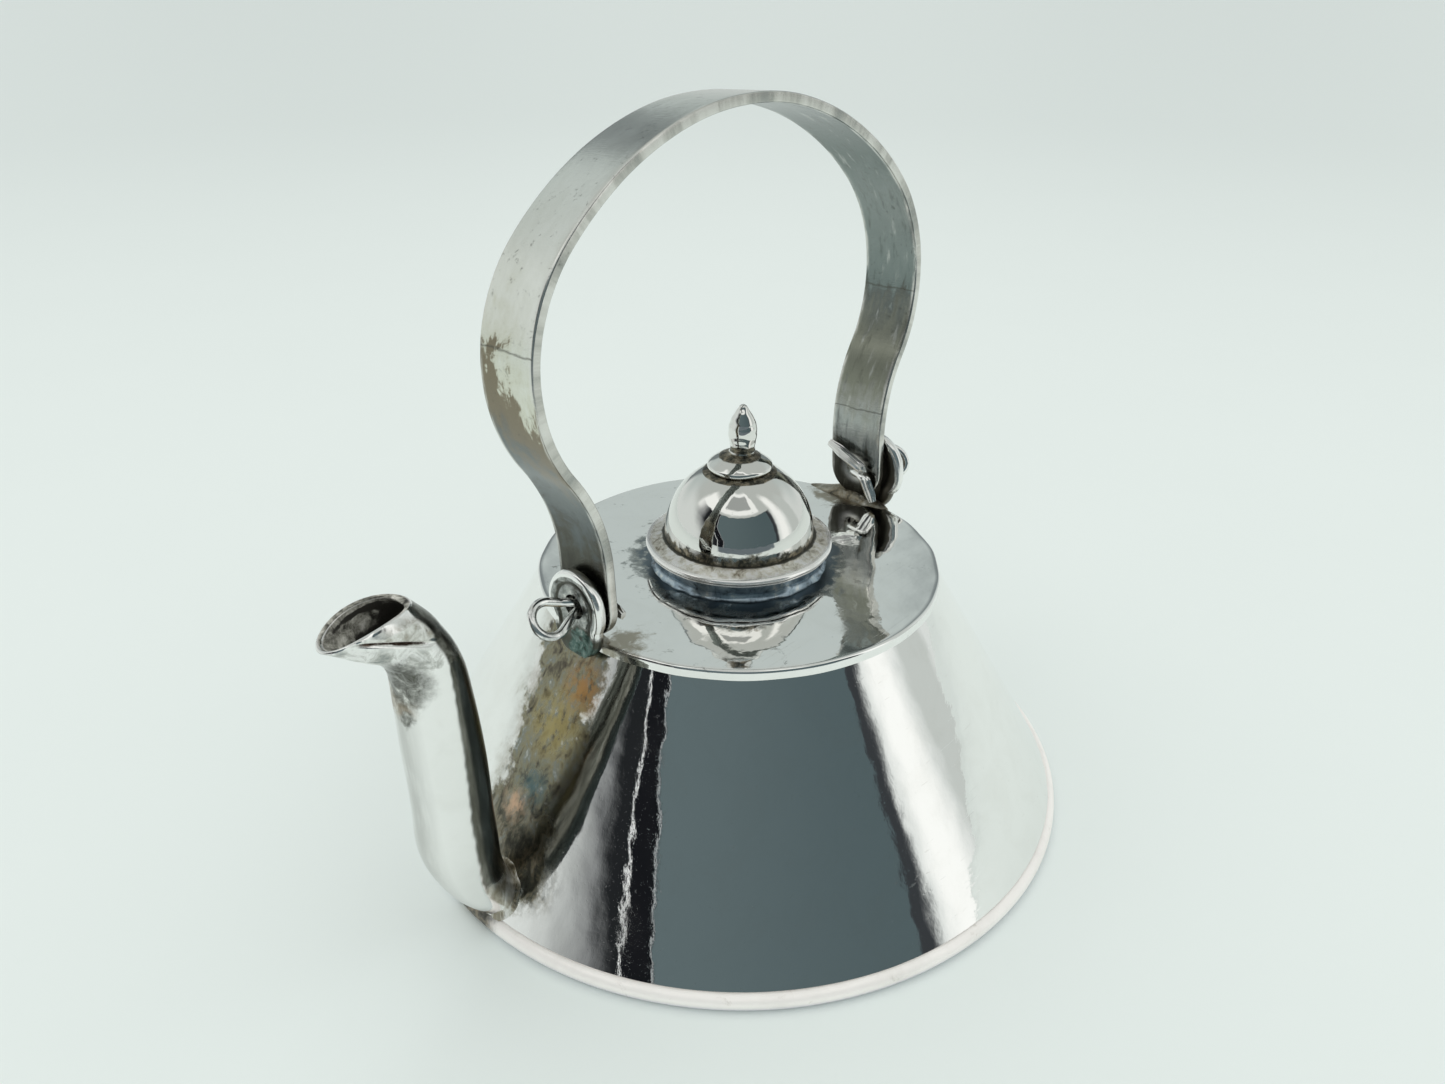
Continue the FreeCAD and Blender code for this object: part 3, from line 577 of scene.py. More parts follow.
def collar_finish():
    """Ring that polishing never reached: blue-grey tarnish with lighter rubbed places."""
    finish = Finish("collar_silver", gloss=(0.16, 0.32))
    nodes = finish.nodes
    tarnish = finish.mottled(
        1.0, colour(0.08, 0.09, 0.1), colour(0.28, 0.35, 0.41), colour(0.42, 0.5, 0.56),
        colour(0.7, 0.71, 0.68),
    )
    finish.stain_and_shade(nodes.ramp(finish.grain, 0.1, 0.4), tarnish, 0.28)
    return finish.done()


def lid_finish():
    """Bright lid, with a painted dark reflection, mottled like tarnish, where the dome stands on its flange,
    painted shade under the cap, and dark round the finial.
    """
    finish = Finish("lid_silver", gloss=(0.02, 0.07), ripple=2.0, tint=colour(0.81, 0.805, 0.775))
    nodes = finish.nodes
    level = nodes.parts(finish.place)[2]
    height = nodes.parts(finish.fretted)[2]
    dark = finish.mottled(2.0, SOOT_AND_SHADE, OXIDE, BROWN, TAN)
    # The dark band at the dome's foot is a painted dark reflection, mottled like tarnish.
    foot = nodes.ramp(height, FLANGE_TOP + 1.1, FLANGE_TOP + 0.05)
    finish.stain_and_shade(foot, dark, 0.32, 0.7)
    # Painted shade under the cap's rim.
    under = nodes.window(level, CAP_UNDERSIDE + 0.05, CAP_LOWER_EDGE + 0.07, 0.06)
    finish.stain_and_shade(under, dark, 0.35, 0.4)
    inner = nodes.ramp(finish.from_axis(finish.place), 1.65, 1.35)
    finish.stain_and_shade(nodes.product(inner, nodes.window(level, 26.0, 26.85, 0.12)), dark, 0.35, 0.5)
    finish.stain_and_shade(nodes.window(level, 26.9, 27.3, 0.14), dark, 0.35, 0.5)
    return finish.done()


def flange_finish():
    """Flange with a tarnished flat, a bright rubbed rim and painted shade in the groove between its two
    beads.
    """
    finish = Finish("flange_silver", gloss=(0.09, 0.18))
    finish.shader.inputs["Metallic"].default_value = 0.8
    nodes = finish.nodes
    tarnish = finish.mottled(1.5, BROWN, colour(0.6, 0.57, 0.49), colour(0.8, 0.78, 0.7), SILVER, SILVER)
    across = finish.from_axis(finish.place)
    finish.stain_and_shade(nodes.ramp(across, FLANGE_RADIUS - 0.15, FLANGE_RADIUS - 0.5), tarnish, 0.3)
    finish.stain_and_shade(nodes.ramp(across, 5.75, 5.45), OXIDE, 0.34, 0.7)
    level = nodes.parts(finish.place)[2]
    # Painted shade: a black line in the groove between the two beads.
    finish.stain_and_shade(nodes.window(level, 19.74, 19.84, 0.04), SOOT_AND_SHADE, 0.4)
    return finish.done()


def spout_finish():
    """Tube with a polished front streaked with painted grey shade, a dark back, and dull patches near the
    nose.
    """
    finish = Finish("spout_silver", gloss=(0.06, 0.16), ripple=1.0)
    nodes = finish.nodes
    streak = nodes.stretched(finish.place, (2.5, 2.5, 0.35))
    streaks = nodes.noise(streak, 1.0, 5.0, 0.6)
    # The grey streaks over the tube's front are painted shade.
    rubbed = nodes.product(finish.mark("front"), nodes.ramp(streaks, 0.2, 0.6, 0.5, 1.0))
    finish.stain_and_shade(rubbed, colour(0.42, 0.42, 0.4), 0.2, strength=0.62)
    warm = finish.mottled(1.4, BROWN, colour(0.34, 0.29, 0.235), colour(0.5, 0.46, 0.4), HAZE)
    grey = finish.mottled(1.4, OXIDE, LEAD, PEWTER, HAZE)
    for place, reach, tone in (
        ((-28.6, 0.1, 20.9), 1.9, warm), ((-28.4, -0.7, 22.1), 2.1, grey), ((-28.4, -0.5, 19.6), 0.7, grey),
    ):
        finish.stain_and_shade(nodes.near(finish.fretted, place, 0.45 * reach, reach), tone, 0.3)
    height = nodes.parts(finish.fretted)[2]
    back = nodes.product(finish.mark("back"), nodes.ramp(height, 4.9, 5.9))
    dark = nodes.bands(streaks, (
        (0.3, OXIDE), (0.5, colour(0.13, 0.13, 0.11)), (0.7, colour(0.26, 0.26, 0.23)),
    ))
    finish.stain_and_shade(back, dark, 0.24)
    brushed = finish.mottled(1.2, BROWN, TAN, HAZE, SILVER, upright=0.4)
    finish.stain_and_shade(nodes.product(finish.mark("back"), nodes.ramp(height, 5.9, 4.9)), brushed, 0.42)
    return finish.done()


def nose_finish():
    """Nose with a dark back, a mottled mouth, a black throat, mottled tarnish on its side flaps with a
    painted shadow in the crease under each, and grey mottling with painted shade on its underside.
    """
    finish = Finish("nose_silver", gloss=(0.06, 0.18))
    nodes = finish.nodes
    # Grey mottling with painted shade on the nose's underside, below the crease.
    mottling_and_painted_shade = finish.mottled(0.9, GREY, colour(0.56, 0.56, 0.53), SILVER, SILVER)
    finish.stain_and_shade(finish.mark("front"), mottling_and_painted_shade, 0.24)
    grey = finish.mottled(1.4, OXIDE, LEAD, PEWTER, HAZE)
    finish.stain_and_shade(nodes.near(finish.fretted, (-28.7, -1.1, 23.2), 0.3, 1.9), grey, 0.3)
    fold = finish.mottled(1.6, BROWN, colour(0.5, 0.49, 0.44), HAZE, SILVER)
    finish.stain_and_shade(finish.mark("flap"), fold, 0.3, strength=0.85)
    dark = finish.mottled(1.2, SOOT_AND_SHADE, OXIDE, colour(0.16, 0.16, 0.14), colour(0.3, 0.3, 0.27))
    finish.stain_and_shade(finish.mark("back"), dark, 0.22)
    depth = finish.mark("inside")
    mouth = nodes.ramp(depth, 0.02, 0.14)
    crust = finish.mottled(
        1.6, SOOT_AND_SHADE, colour(0.2, 0.2, 0.17), colour(0.5, 0.5, 0.44), colour(0.8, 0.8, 0.74),
    )
    finish.stain_and_shade(mouth, crust, 0.6)
    finish.stain_and_shade(nodes.ramp(depth, 0.3, 0.54), SOOT_AND_SHADE, 0.6, 0.9)
    finish.raise_by(nodes.product(mouth, nodes.noise(finish.place, 1.1, 6.0, 0.65)), 6.0)
    nodes.join(finish.shader.inputs["Metallic"], nodes.ramp(mouth, 0.0, 1.0, 1.0, 0.2))
    # Painted shadow in the crease under each flap.
    finish.stain_and_shade(finish.mark("crease"), colour(0.1, 0.07, 0.055), 0.35, 0.6)
    return finish.done()


def strap_finish():
    """Satin strip with bright filed edges and marks across it, with brown and blue tarnish along it, and
    darker towards its ends.
    """
    finish = Finish("strap_silver", gloss=(0.14, 0.26), haze=0.5, ripple=1.0, scratches=0.8)
    nodes = finish.nodes
    along = finish.mark("lengthwise")
    side = finish.mark("outward")
    width = finish.mark("crosswise")
    across = nodes.parts(finish.place)[1]
    filed = nodes.add("ShaderNodeCombineXYZ", {0: nodes.math("MULTIPLY", along, 7.0), 1: across})
    finish.raise_by(nodes.noise(filed, 1.0, 4.0, 0.65), 0.6)
    patchy = nodes.math("SUBTRACT", nodes.noise(finish.place, 0.4, 9.0, 0.7, 0.6), 0.5)
    streaks = nodes.add("ShaderNodeCombineXYZ", {0: nodes.math("MULTIPLY", along, 0.22), 1: across})
    streaky = nodes.math("SUBTRACT", nodes.noise(streaks, 1.3, 7.0, 0.66), 0.5)
    outside = nodes.ramp(side, 0.75, 0.97)
    inside = nodes.ramp(side, -0.75, -0.97)
    edges = nodes.ramp(nodes.math("ABSOLUTE", side), 0.97, 0.75)
    worn_edge = nodes.bands(streaky, ((-0.2, GREY), (0.0, colour(0.5, 0.49, 0.45)), (0.2, HAZE)))
    finish.stain_and_shade(edges, worn_edge, 0.26)
    shifted = nodes.plus(nodes.plus(along, patchy, 13.0), streaky, 8.0)
    outer_tone = nodes.bands(nodes.plus(shifted, width, 0.7), (
        (-46.0, SOOT_AND_SHADE), (-40.0, OXIDE), (-34.0, GREY), (-29.0, TAN), (-26.0, colour(0.62, 0.63, 0.59)),
        (4.0, colour(0.62, 0.63, 0.59)), (13.0, colour(0.88, 0.89, 0.85)), (21.0, colour(0.76, 0.77, 0.71)),
        (24.4, colour(0.66, 0.66, 0.56)), (25.0, colour(0.24, 0.205, 0.145)),
        (28.5, colour(0.22, 0.19, 0.14)), (31.5, colour(0.15, 0.172, 0.172)),
        (35.5, colour(0.11, 0.125, 0.125)), (38.0, OXIDE), (42.0, SOOT_AND_SHADE),
    ))
    finish.stain_and_shade(outside, outer_tone, 0.24)
    cloudy = nodes.product(outside, nodes.ramp(along, 28.0, 33.0), nodes.ramp(patchy, 0.0, 0.14))
    finish.stain_and_shade(cloudy, OXIDE, 0.3, strength=0.7)
    inner_tone = nodes.bands(nodes.plus(nodes.plus(along, patchy, 6.0), streaky, 9.0), (
        (-43.0, SOOT_AND_SHADE), (-40.5, OXIDE), (-39.2, GREY), (-37.6, colour(0.4, 0.42, 0.4)),
        (-36.4, colour(0.34, 0.35, 0.32)), (-34.0, colour(0.24, 0.25, 0.2)),
        (-30.5, colour(0.27, 0.28, 0.23)), (-27.4, colour(0.14, 0.155, 0.145)),
        (-26.4, colour(0.19, 0.225, 0.215)),
        (-19.0, colour(0.27, 0.3, 0.29)), (-14.0, colour(0.16, 0.19, 0.18)),
        (-6.0, colour(0.15, 0.17, 0.165)), (20.0, GREY), (36.0, BROWN), (42.0, SOOT_AND_SHADE),
    ))
    finish.stain_and_shade(inside, inner_tone, 0.22)
    specks = nodes.noise(finish.place, 2.0, 6.0, 0.72, 0.3)
    finish.stain_and_shade(nodes.ramp(specks, 0.58, 0.72), OXIDE, 0.3, strength=0.65)
    dark = nodes.product(inside, nodes.ramp(streaky, -0.04, -0.16))
    finish.stain_and_shade(dark, OXIDE, 0.3, strength=0.4)
    bare = nodes.product(inside, nodes.ramp(streaky, 0.06, 0.18))
    finish.stain_and_shade(bare, colour(0.52, 0.53, 0.5), 0.22, strength=0.6)
    border = nodes.ramp(nodes.math("ABSOLUTE", width), 1.95, 2.2)
    border = nodes.product(border, nodes.ramp(streaky, -0.1, 0.1))
    finish.stain_and_shade(border, HAZE, 0.2, strength=0.8)
    scribed = nodes.plus(along, patchy, 0.8)
    for at, face in ((23.2, outside), (-26.6, inside), (-36.4, inside)):
        line = nodes.window(scribed, at - 0.03, at + 0.03, 0.07)
        finish.stain_and_shade(nodes.product(line, face), OXIDE, 0.3)
    return finish.done()


def lug_finish():
    """Thick lugs with dark faces, bright worn edges and green at the foot."""
    finish = Finish("lug_silver", gloss=(0.12, 0.24))
    nodes = finish.nodes
    face = nodes.math("SUBTRACT", 1.0, finish.mark("worn"))
    dull = finish.mottled(1.5, OXIDE, colour(0.26, 0.27, 0.26), colour(0.4, 0.41, 0.39), HAZE)
    finish.stain_and_shade(face, dull, 0.26, 0.5, strength=0.85)
    finish.stain_and_shade(finish.mark("groove"), OXIDE, 0.3, 0.4, strength=0.9)
    height = nodes.parts(finish.fretted)[2]
    finish.stain_and_shade(nodes.product(face, nodes.ramp(height, 20.6, 19.0)), OXIDE, 0.34, 0.6)
    rear = nodes.product(face, nodes.ramp(nodes.parts(finish.place)[0], 5.0, 10.0))
    finish.stain_and_shade(rear, colour(0.13, 0.12, 0.1), 0.34, 0.6, strength=0.85)
    green = finish.mottled(2.4, SOOT_AND_SHADE, VERDIGRIS, colour(0.13, 0.2, 0.18), colour(0.38, 0.4, 0.38))
    finish.stain_and_shade(nodes.near(finish.fretted, (-15.8, -0.6, 18.2), 0.8, 1.9), green, 0.4, 0.6)
    return finish.done()


def solder_finish():
    """Grey solder, lumpy and dull, with brown and green in its hollows."""
    finish = Finish("solder_grey", gloss=(0.2, 0.34), tint=HAZE)
    nodes = finish.nodes
    finish.raise_by(nodes.ramp(nodes.noise(finish.place, 2.2, 4.0, 0.65), 0.3, 0.6), 1.4)
    tarnish = finish.mottled(1.1, OXIDE, BROWN, colour(0.36, 0.34, 0.28), colour(0.55, 0.54, 0.49))
    finish.stain_and_shade(nodes.ramp(finish.grain, 0.1, 0.4), tarnish, 0.34)
    finish.stain_and_shade(nodes.near(finish.fretted, (-15.6, -0.8, 17.6), 0.3, 1.4), VERDIGRIS, 0.4, 0.6)
    return finish.done(0.03)


def foot_finish():
    """Smooth bright solder at the foot of the spout, with dark streaks on the side of the wall."""
    finish = Finish("solder_bright", gloss=(0.12, 0.25), tint=HAZE)
    nodes = finish.nodes
    tarnish = finish.mottled(1.1, OXIDE, BROWN, TAN, HAZE, SILVER, upright=0.4)
    finish.stain_and_shade(nodes.ramp(finish.grain, 0.1, 0.4), tarnish, 0.34)
    high = nodes.ramp(nodes.parts(finish.fretted)[2], 4.2, 5.2)
    finish.stain_and_shade(high, OXIDE, 0.3, 0.5)
    return finish.done(0.02)


def wire_finish():
    """Drawn wire, bright where it rubs and grey in between."""
    finish = Finish("wire_silver", gloss=(0.08, 0.2))
    finish.stain_and_shade(finish.nodes.ramp(finish.grain, 0.48, 0.62), GREY, 0.28, strength=0.6)
    return finish.done()


# Body

def make_base(finish):
    """Flat pan with a rolled rim: a closed outline turned about the axis, lumpy where it meets the wall."""
    r, h, q = BASE_RADIUS, RIM_HEIGHT, RIM_ROUND
    profile = outline(
        (0, 0, 24), bow((r - q, q), q, -90, 90, 22), (r - q, 2 * q, 4), (WALL_FOOT_RADIUS - WALL_LAP, h, 2),
        (RIM_BORE, h, 2), (RIM_BORE, BASE_SHEET, 12), (0, BASE_SHEET, 1),
    )

    def dent(angle, along, radius, height):
        rim = np.clip((radius - (r - 2)) / 2, 0, 1)
        wave = uneven(angle, 0 * along, 11, turns=14)
        lumps = uneven(angle, 0 * along, 12, turns=60, count=20)
        upper = np.clip(height - q, 0, 1)
        return -rim * (0.03 + 0.05 * wave), rim * upper * (0.1 * wave + 0.14 * lumps)

    piece("base_pan_pressed", [turned(profile, 480, dent)], finish, "base_pan")


def make_wall(finish):
    """Rolled cone: the outside and the inside of the sheet as one turned outline, with soft hammer waves."""
    foot, top, sheet = WALL_FOOT_RADIUS, WALL_TOP_RADIUS, WALL_SHEET
    profile = outline(
        (foot, RIM_HEIGHT, 72), (top, WALL_TOP, 2), (top - sheet, WALL_TOP, 20),
        (foot - sheet, RIM_HEIGHT, 2),
    )

    def dent(angle, along, radius, height):
        rise = (height - RIM_HEIGHT) / (WALL_TOP - RIM_HEIGHT)
        slow = uneven(angle, rise, 21, turns=7, rises=0.8)
        quick = uneven(angle, rise, 22, turns=26, rises=3.0, count=16)
        ends = np.clip(rise * 12, 0, 1) * np.clip((1 - rise) * 12, 0, 1)
        return (0.075 * slow + 0.016 * quick) * ends, 0.0

    piece("wall_rolled", [turned(profile, 384, dent)], finish, "body_wall")


def make_shoulder(finish):
    """Flat round plate with the mouth in it and a filed outer edge."""
    r, low, high, q = SHOULDER_RADIUS, SHOULDER_UNDERSIDE, SHOULDER_TOP, SHOULDER_ROUND
    profile = outline(
        (MOUTH_RADIUS, low, 16), (r, low, 3), bow((r - q, high - q), q, 0, 90, 6), (r - q, high, 40),
        (MOUTH_RADIUS, high, 3),
    )

    def dent(angle, along, radius, height):
        edge = np.clip((radius - (r - 0.6)) / 0.6, 0, 1)
        wave = uneven(angle, 0 * along, 31, turns=22, count=14)
        sway = uneven(angle, radius / r, 32, turns=5, rises=1.0)
        flat = (height > high - 0.05) * np.clip((radius - COLLAR_RADIUS) / 2, 0, 1)
        return edge * (0.09 * wave - 0.05), 0.03 * sway * flat + edge * 0.05 * wave * (height > low + 0.1)

    piece("shoulder_filed", [turned(profile, 320, dent)], finish, "shoulder_plate")


def make_collar(finish):
    """Upright ring round the mouth, and the ragged solder fillet at its foot."""
    q = COLLAR_ROUND
    ring = outline(
        (MOUTH_RADIUS, SHOULDER_TOP, 2), (COLLAR_RADIUS, SHOULDER_TOP, 10),
        bow((COLLAR_RADIUS - q, COLLAR_TOP - q), q, 0, 90, 4),
        (COLLAR_RADIUS - q, COLLAR_TOP, 3), (MOUTH_RADIUS, COLLAR_TOP, 8),
    )

    def bruise(angle, along, radius, height):
        outside = radius > MOUTH_RADIUS + 0.3
        return 0.05 * outside * (uneven(angle, height, 41, turns=24, rises=0.5) - 0.4), 0.0

    low, high = SHOULDER_TOP - 0.04, COLLAR_SOLDER_TOP
    inner, outer = COLLAR_RADIUS - 0.12, COLLAR_SOLDER_RADIUS
    curve, lap = high - low, 0.02
    fillet = outline(
        (inner, low, 3), (outer, low, 0), bow((outer + lap, high + lap), curve, -90, -180, 10),
        (outer + lap - curve, high, 2), (inner, high, 3),
    )

    def ragged(angle, along, radius, height):
        toe = np.clip((radius - COLLAR_RADIUS) / (outer - COLLAR_RADIUS), 0, 1)
        wave = uneven(angle, 0 * along, 42, turns=30, count=18)
        return toe * (0.35 * wave - 0.05), (height > low + 0.1) * 0.12 * wave

    piece("collar_ring", [turned(ring, 240, bruise)], finish, "lid_collar")
    piece("collar_fillet", [turned(fillet, 320, ragged)], finish, "collar_solder")


# Spout

def spout_rings(stations, places, inset, around):
    """Sections of the spout, round or oval, square to their lean and evenly counted round."""
    knots = np.concatenate([[0], np.cumsum(np.hypot(*np.diff(stations[:, :2], axis=0).T))])
    reach, height, lean, long, wide = smooth_through(knots, stations, places * knots[-1]).T[:, :, None]
    lean = np.radians(lean)
    side = (long - inset) * np.cos(around)
    across = (wide - inset) * np.sin(around)
    return np.stack([-reach + side * np.cos(lean), across, height - side * np.sin(lean)], -1)


def from_back(around):
    """Angle round the spout, in degrees from the side that faces the wall."""
    return np.abs(np.degrees(np.angle(np.exp(1j * around))))


def soften_neck(points, around):
    """Ease the spout forwards where the nose bends away from the tube: a bell-shaped shift over the height,
    at the back and at the front."""
    to_back = np.cos(around)
    for (height, spread, depth), share in ((NECK_BACK, to_back), (NECK_FRONT, -to_back)):
        near = np.exp(-((points[..., 2] - height) / spread) ** 2)
        points[..., 0] -= depth * near * np.clip(share, 0, 1)
    return points


def make_nose(around, finish):
    """Folded nose: ovals carried from the neck to the lip, arched along both sides of the mouth and tilted
    down to the front, with a flap over a crease on each side and a rounded lip."""
    stations = np.array([
        (reach, height, 0.0, long, wide)
        for reach, height, long, wide in (NOSE_NECK, NOSE_BEND, NOSE_MIDDLE, NOSE_LIP)
    ])
    places = np.linspace(0.0, 1.0, 56)
    rise = places[:, None]
    bearing = from_back(around)
    below = bearing - (CREASE_BEARING + CREASE_CLIMB * (rise - CREASE_RISE))
    begun = np.clip((rise - 0.42) * 8, 0, 1) * np.clip((1.04 - rise) * 6, 0, 1)
    crease = np.clip(1 - np.abs(below) / CREASE_HALF, 0, 1) ** 1.5 * begun
    back_edge = np.clip((bearing - 30) / 34, 0, 1)
    flap = back_edge ** 2 * (3 - 2 * back_edge) * np.clip(-below / 12, 0, 1) * begun
    outside = spout_rings(stations, places, CREASE_DEPTH * crease - FLAP_HEIGHT * flap, around)
    lip_sheet = NOSE_LIP_SHEET + NOSE_LIP_BACK * np.clip(np.cos(around), 0, 1) ** 6
    sheet = SPOUT_SHEET + (lip_sheet - SPOUT_SHEET) * rise[::-1]
    inside = spout_rings(stations, places[::-1], sheet, around)
    turn = np.linspace(0, np.pi, 8)[1:-1]
    shares = (1 - np.cos(turn)) / 2
    top = np.array([1.0])
    lip_rows = [spout_rings(stations, top, lip_sheet * share, around) for share in shares]
    lip = np.concatenate(lip_rows)
    lip[:, :, 2] += NOSE_LIP_SHEET / 2 * np.sin(turn)[:, None]
    shell = np.concatenate([outside, lip, inside])
    share = np.concatenate([places, np.ones(len(lip)), places[::-1]])[:, None] ** 2
    shell[:, :, 2] += share * (NOSE_ARCH * np.sin(around) ** 2 + NOSE_TILT * np.cos(around))
    shell[:, :, 0] -= share * NOSE_DRAW_IN * (1 + np.cos(around)) / 2
    shell = soften_neck(shell, around)
    depth = np.concatenate([0 * places, np.linspace(0, 0.06, len(lip)), 1 - places[::-1]])[:, None]
    throat = depth + 0.55 * np.clip(np.cos(around), 0, 1) * np.clip(depth * 8, 0, 1)
    throat += 0.42 * np.clip(np.sin(around), 0, 1) * np.exp(-((depth - 0.1) / 0.07) ** 2)
    blank = np.zeros((len(lip) + len(inside), around.shape[1]))
    marks = {
        "inside": [throat],
        "crease": [np.concatenate([crease, blank])],
        "flap": [np.concatenate([flap, blank])],
        "back": [np.concatenate([np.clip((84 - 46 * rise - bearing) / 5 + 0.5, 0, 1), blank])],
        "front": [np.concatenate([np.clip(below / 30, 0, 1), blank])],
    }
    folded = [grid(shell, close_rows=True)]
    piece("spout_folded_nose", folded, finish, "spout_nose", marks=marks)


def make_spout(finish, nose, solder):
    """Bent tube from the foot of the wall to the neck: round sections carried along its bend."""
    around = np.linspace(0, FULL_TURN, 144, endpoint=False)[None, :]
    stations = np.array([
        (*place[:3], place[3], place[3])
        for place in (SPOUT_FOOT, SPOUT_ELBOW, SPOUT_BELLY, SPOUT_TUBE, SPOUT_NECK)
    ])
    places = np.linspace(0.0, 1.0, 110)
    rise = places[:, None]
    wave = 0.05 * uneven(around, rise, 51, turns=5, rises=3.0) * np.clip((1 - rise) * 12, 0, 1)
    at, spread, depth = SPOUT_SWELL
    swell = depth * np.exp(-((rise - at) / spread) ** 2) * (1 - np.cos(around)) / 2
    outside = spout_rings(stations, places, -wave - swell, around)
    inside = spout_rings(stations, places[::-1], SPOUT_SHEET, around)
    skin = soften_neck(np.concatenate([outside, inside]), around)
    tube = grid(skin, close_rows=True)
    bearing = from_back(around)
    edge = 84 + 26 * (1 - rise) + 3 * uneven(0 * around, rise, 53, rises=24.0, count=14)
    back = np.clip((edge - bearing) / 4 + 0.5, 0, 1)
    front = np.clip((bearing - 140) / 35, 0, 1) + 0 * rise
    marks = {
        "back": [np.concatenate([back, np.ones_like(back)])],
        "front": [np.concatenate([front, np.zeros_like(back)])],
    }
    piece("spout_bent_tube", [tube], finish, "spout_tube", marks=marks)
    make_nose(around, nose)
    make_spout_solder(stations, around, solder)


def make_spout_solder(stations, around, finish):
    """Lumpy ring of solder on the line where the tube runs into the wall."""
    places = np.linspace(0.0, 0.35, 240)
    tube = spout_rings(stations, places, 0.0, around)
    slope = (WALL_TOP_RADIUS - WALL_FOOT_RADIUS) / (WALL_TOP - RIM_HEIGHT)
    wall = WALL_FOOT_RADIUS + slope * (tube[..., 2] - RIM_HEIGHT)
    clear = np.hypot(tube[..., 0], tube[..., 1]) > np.maximum(wall, 0)
    first = np.argmax(clear, axis=0)
    line = tube[first, np.arange(around.shape[1])]
    middle = line.mean(0)
    outwards = line - middle
    outwards /= np.linalg.norm(outwards, axis=1, keepdims=True)
    normal = np.array([-math.cos(math.atan(-slope)), 0.0, math.sin(math.atan(-slope))])
    turn = np.linspace(0, FULL_TURN, 14, endpoint=False)
    girth = 0.34 + 0.3 * uneven(around[0], 0 * around[0], 52, turns=12)
    bead = girth[:, None, None] * (np.cos(turn)[None, :, None] * outwards[:, None, :]
                                   + 0.22 * np.sin(turn)[None, :, None] * normal)
    ring = grid(line[:, None, :] + bead, close_rows=True)
    piece("spout_solder_bead", [ring], finish, "spout_solder")


# Drilled plates: the lugs and the two ends of the handle strap

def rounded_edge(thickness, edge_round):
    """Half outline of a sheet's edge: how far it stands out and its place through the sheet."""
    half = thickness / 2 - edge_round
    turn = np.radians(np.linspace(90, 0, 6))
    out = edge_round * np.cos(turn)
    through = half + edge_round * np.sin(turn)
    return np.concatenate([out, out[::-1]]), np.concatenate([through, -through[::-1]])


def ring_groove(share):
    """Groove round a hole, about half way to the edge of the plate."""
    return 4 * share * (1 - share) * np.exp(-((share - 0.62) / 0.14) ** 2)


def drilled_plate(edge, outward, rim, hole, hole_radius, thickness, edge_round, groove=0.0):
    """Sheets of a plate with one hole: two faces, the hole's wall and the rounded rim. Points are width,
    height and place through the sheet. The rim follows the numbered points of the edge that are free.
    A groove runs round the faces, between the hole and the edge."""
    away = edge - hole
    bearing = np.arctan2(away[:, 1], away[:, 0])
    bore = hole + hole_radius * np.stack([np.cos(bearing), np.sin(bearing)], -1)
    share = np.linspace(0, 1, 13)[:, None, None]
    face = bore * (1 - share) + edge * share
    half = np.full(face.shape[:2] + (1,), thickness / 2)
    relief = half - HOLE_WEAR * (1 - share) ** 3 - groove * ring_groove(share)
    faces = [grid(np.concatenate([face, side * relief], -1)) for side in (1, -1)]
    depth = np.linspace(1, -1, 4)[:, None] * (thickness / 2 - HOLE_WEAR)
    wall = np.concatenate([np.repeat(bore[None], 4, 0), np.repeat(depth[:, :, None], len(bore), 1)], -1)
    out, through = rounded_edge(thickness, edge_round)
    bead = edge[rim][None] + out[:, None, None] * outward[rim][None]
    bead = np.concatenate([bead, np.repeat(through[:, None, None], len(rim), 1)], -1)
    closed = len(rim) == len(edge)
    return faces + [grid(wall), grid(bead, close_columns=closed)]


def lug_edge(radius, offset):
    """Outline of a lug without its edge rounding: a disc above a straight neck that goes into the wall."""
    inset = radius - LUG_EDGE_ROUND
    half = LUG_NECK_HALF - LUG_EDGE_ROUND
    dip = math.degrees(math.asin(half / inset))
    disc = bow((-offset, PIVOT_HEIGHT), inset, -90 + dip, 270 - dip, 64)
    neck_top = disc[0][1]
    low = LUG_FOOT + LUG_EDGE_ROUND
    left = straight((-offset - half, neck_top), (-offset - half, low), 8)
    foot = straight((-offset - half, low), (-offset + half, low), 8)
    right = straight((-offset + half, low), (-offset + half, neck_top), 8)
    edge = np.concatenate([disc, left, foot, right])
    facing = [(disc - (-offset, PIVOT_HEIGHT)) / inset]
    facing += [np.repeat([way], 8, 0) for way in ((-1.0, 0.0), (0.0, -1.0), (1.0, 0.0))]
    return edge, np.concatenate(facing)


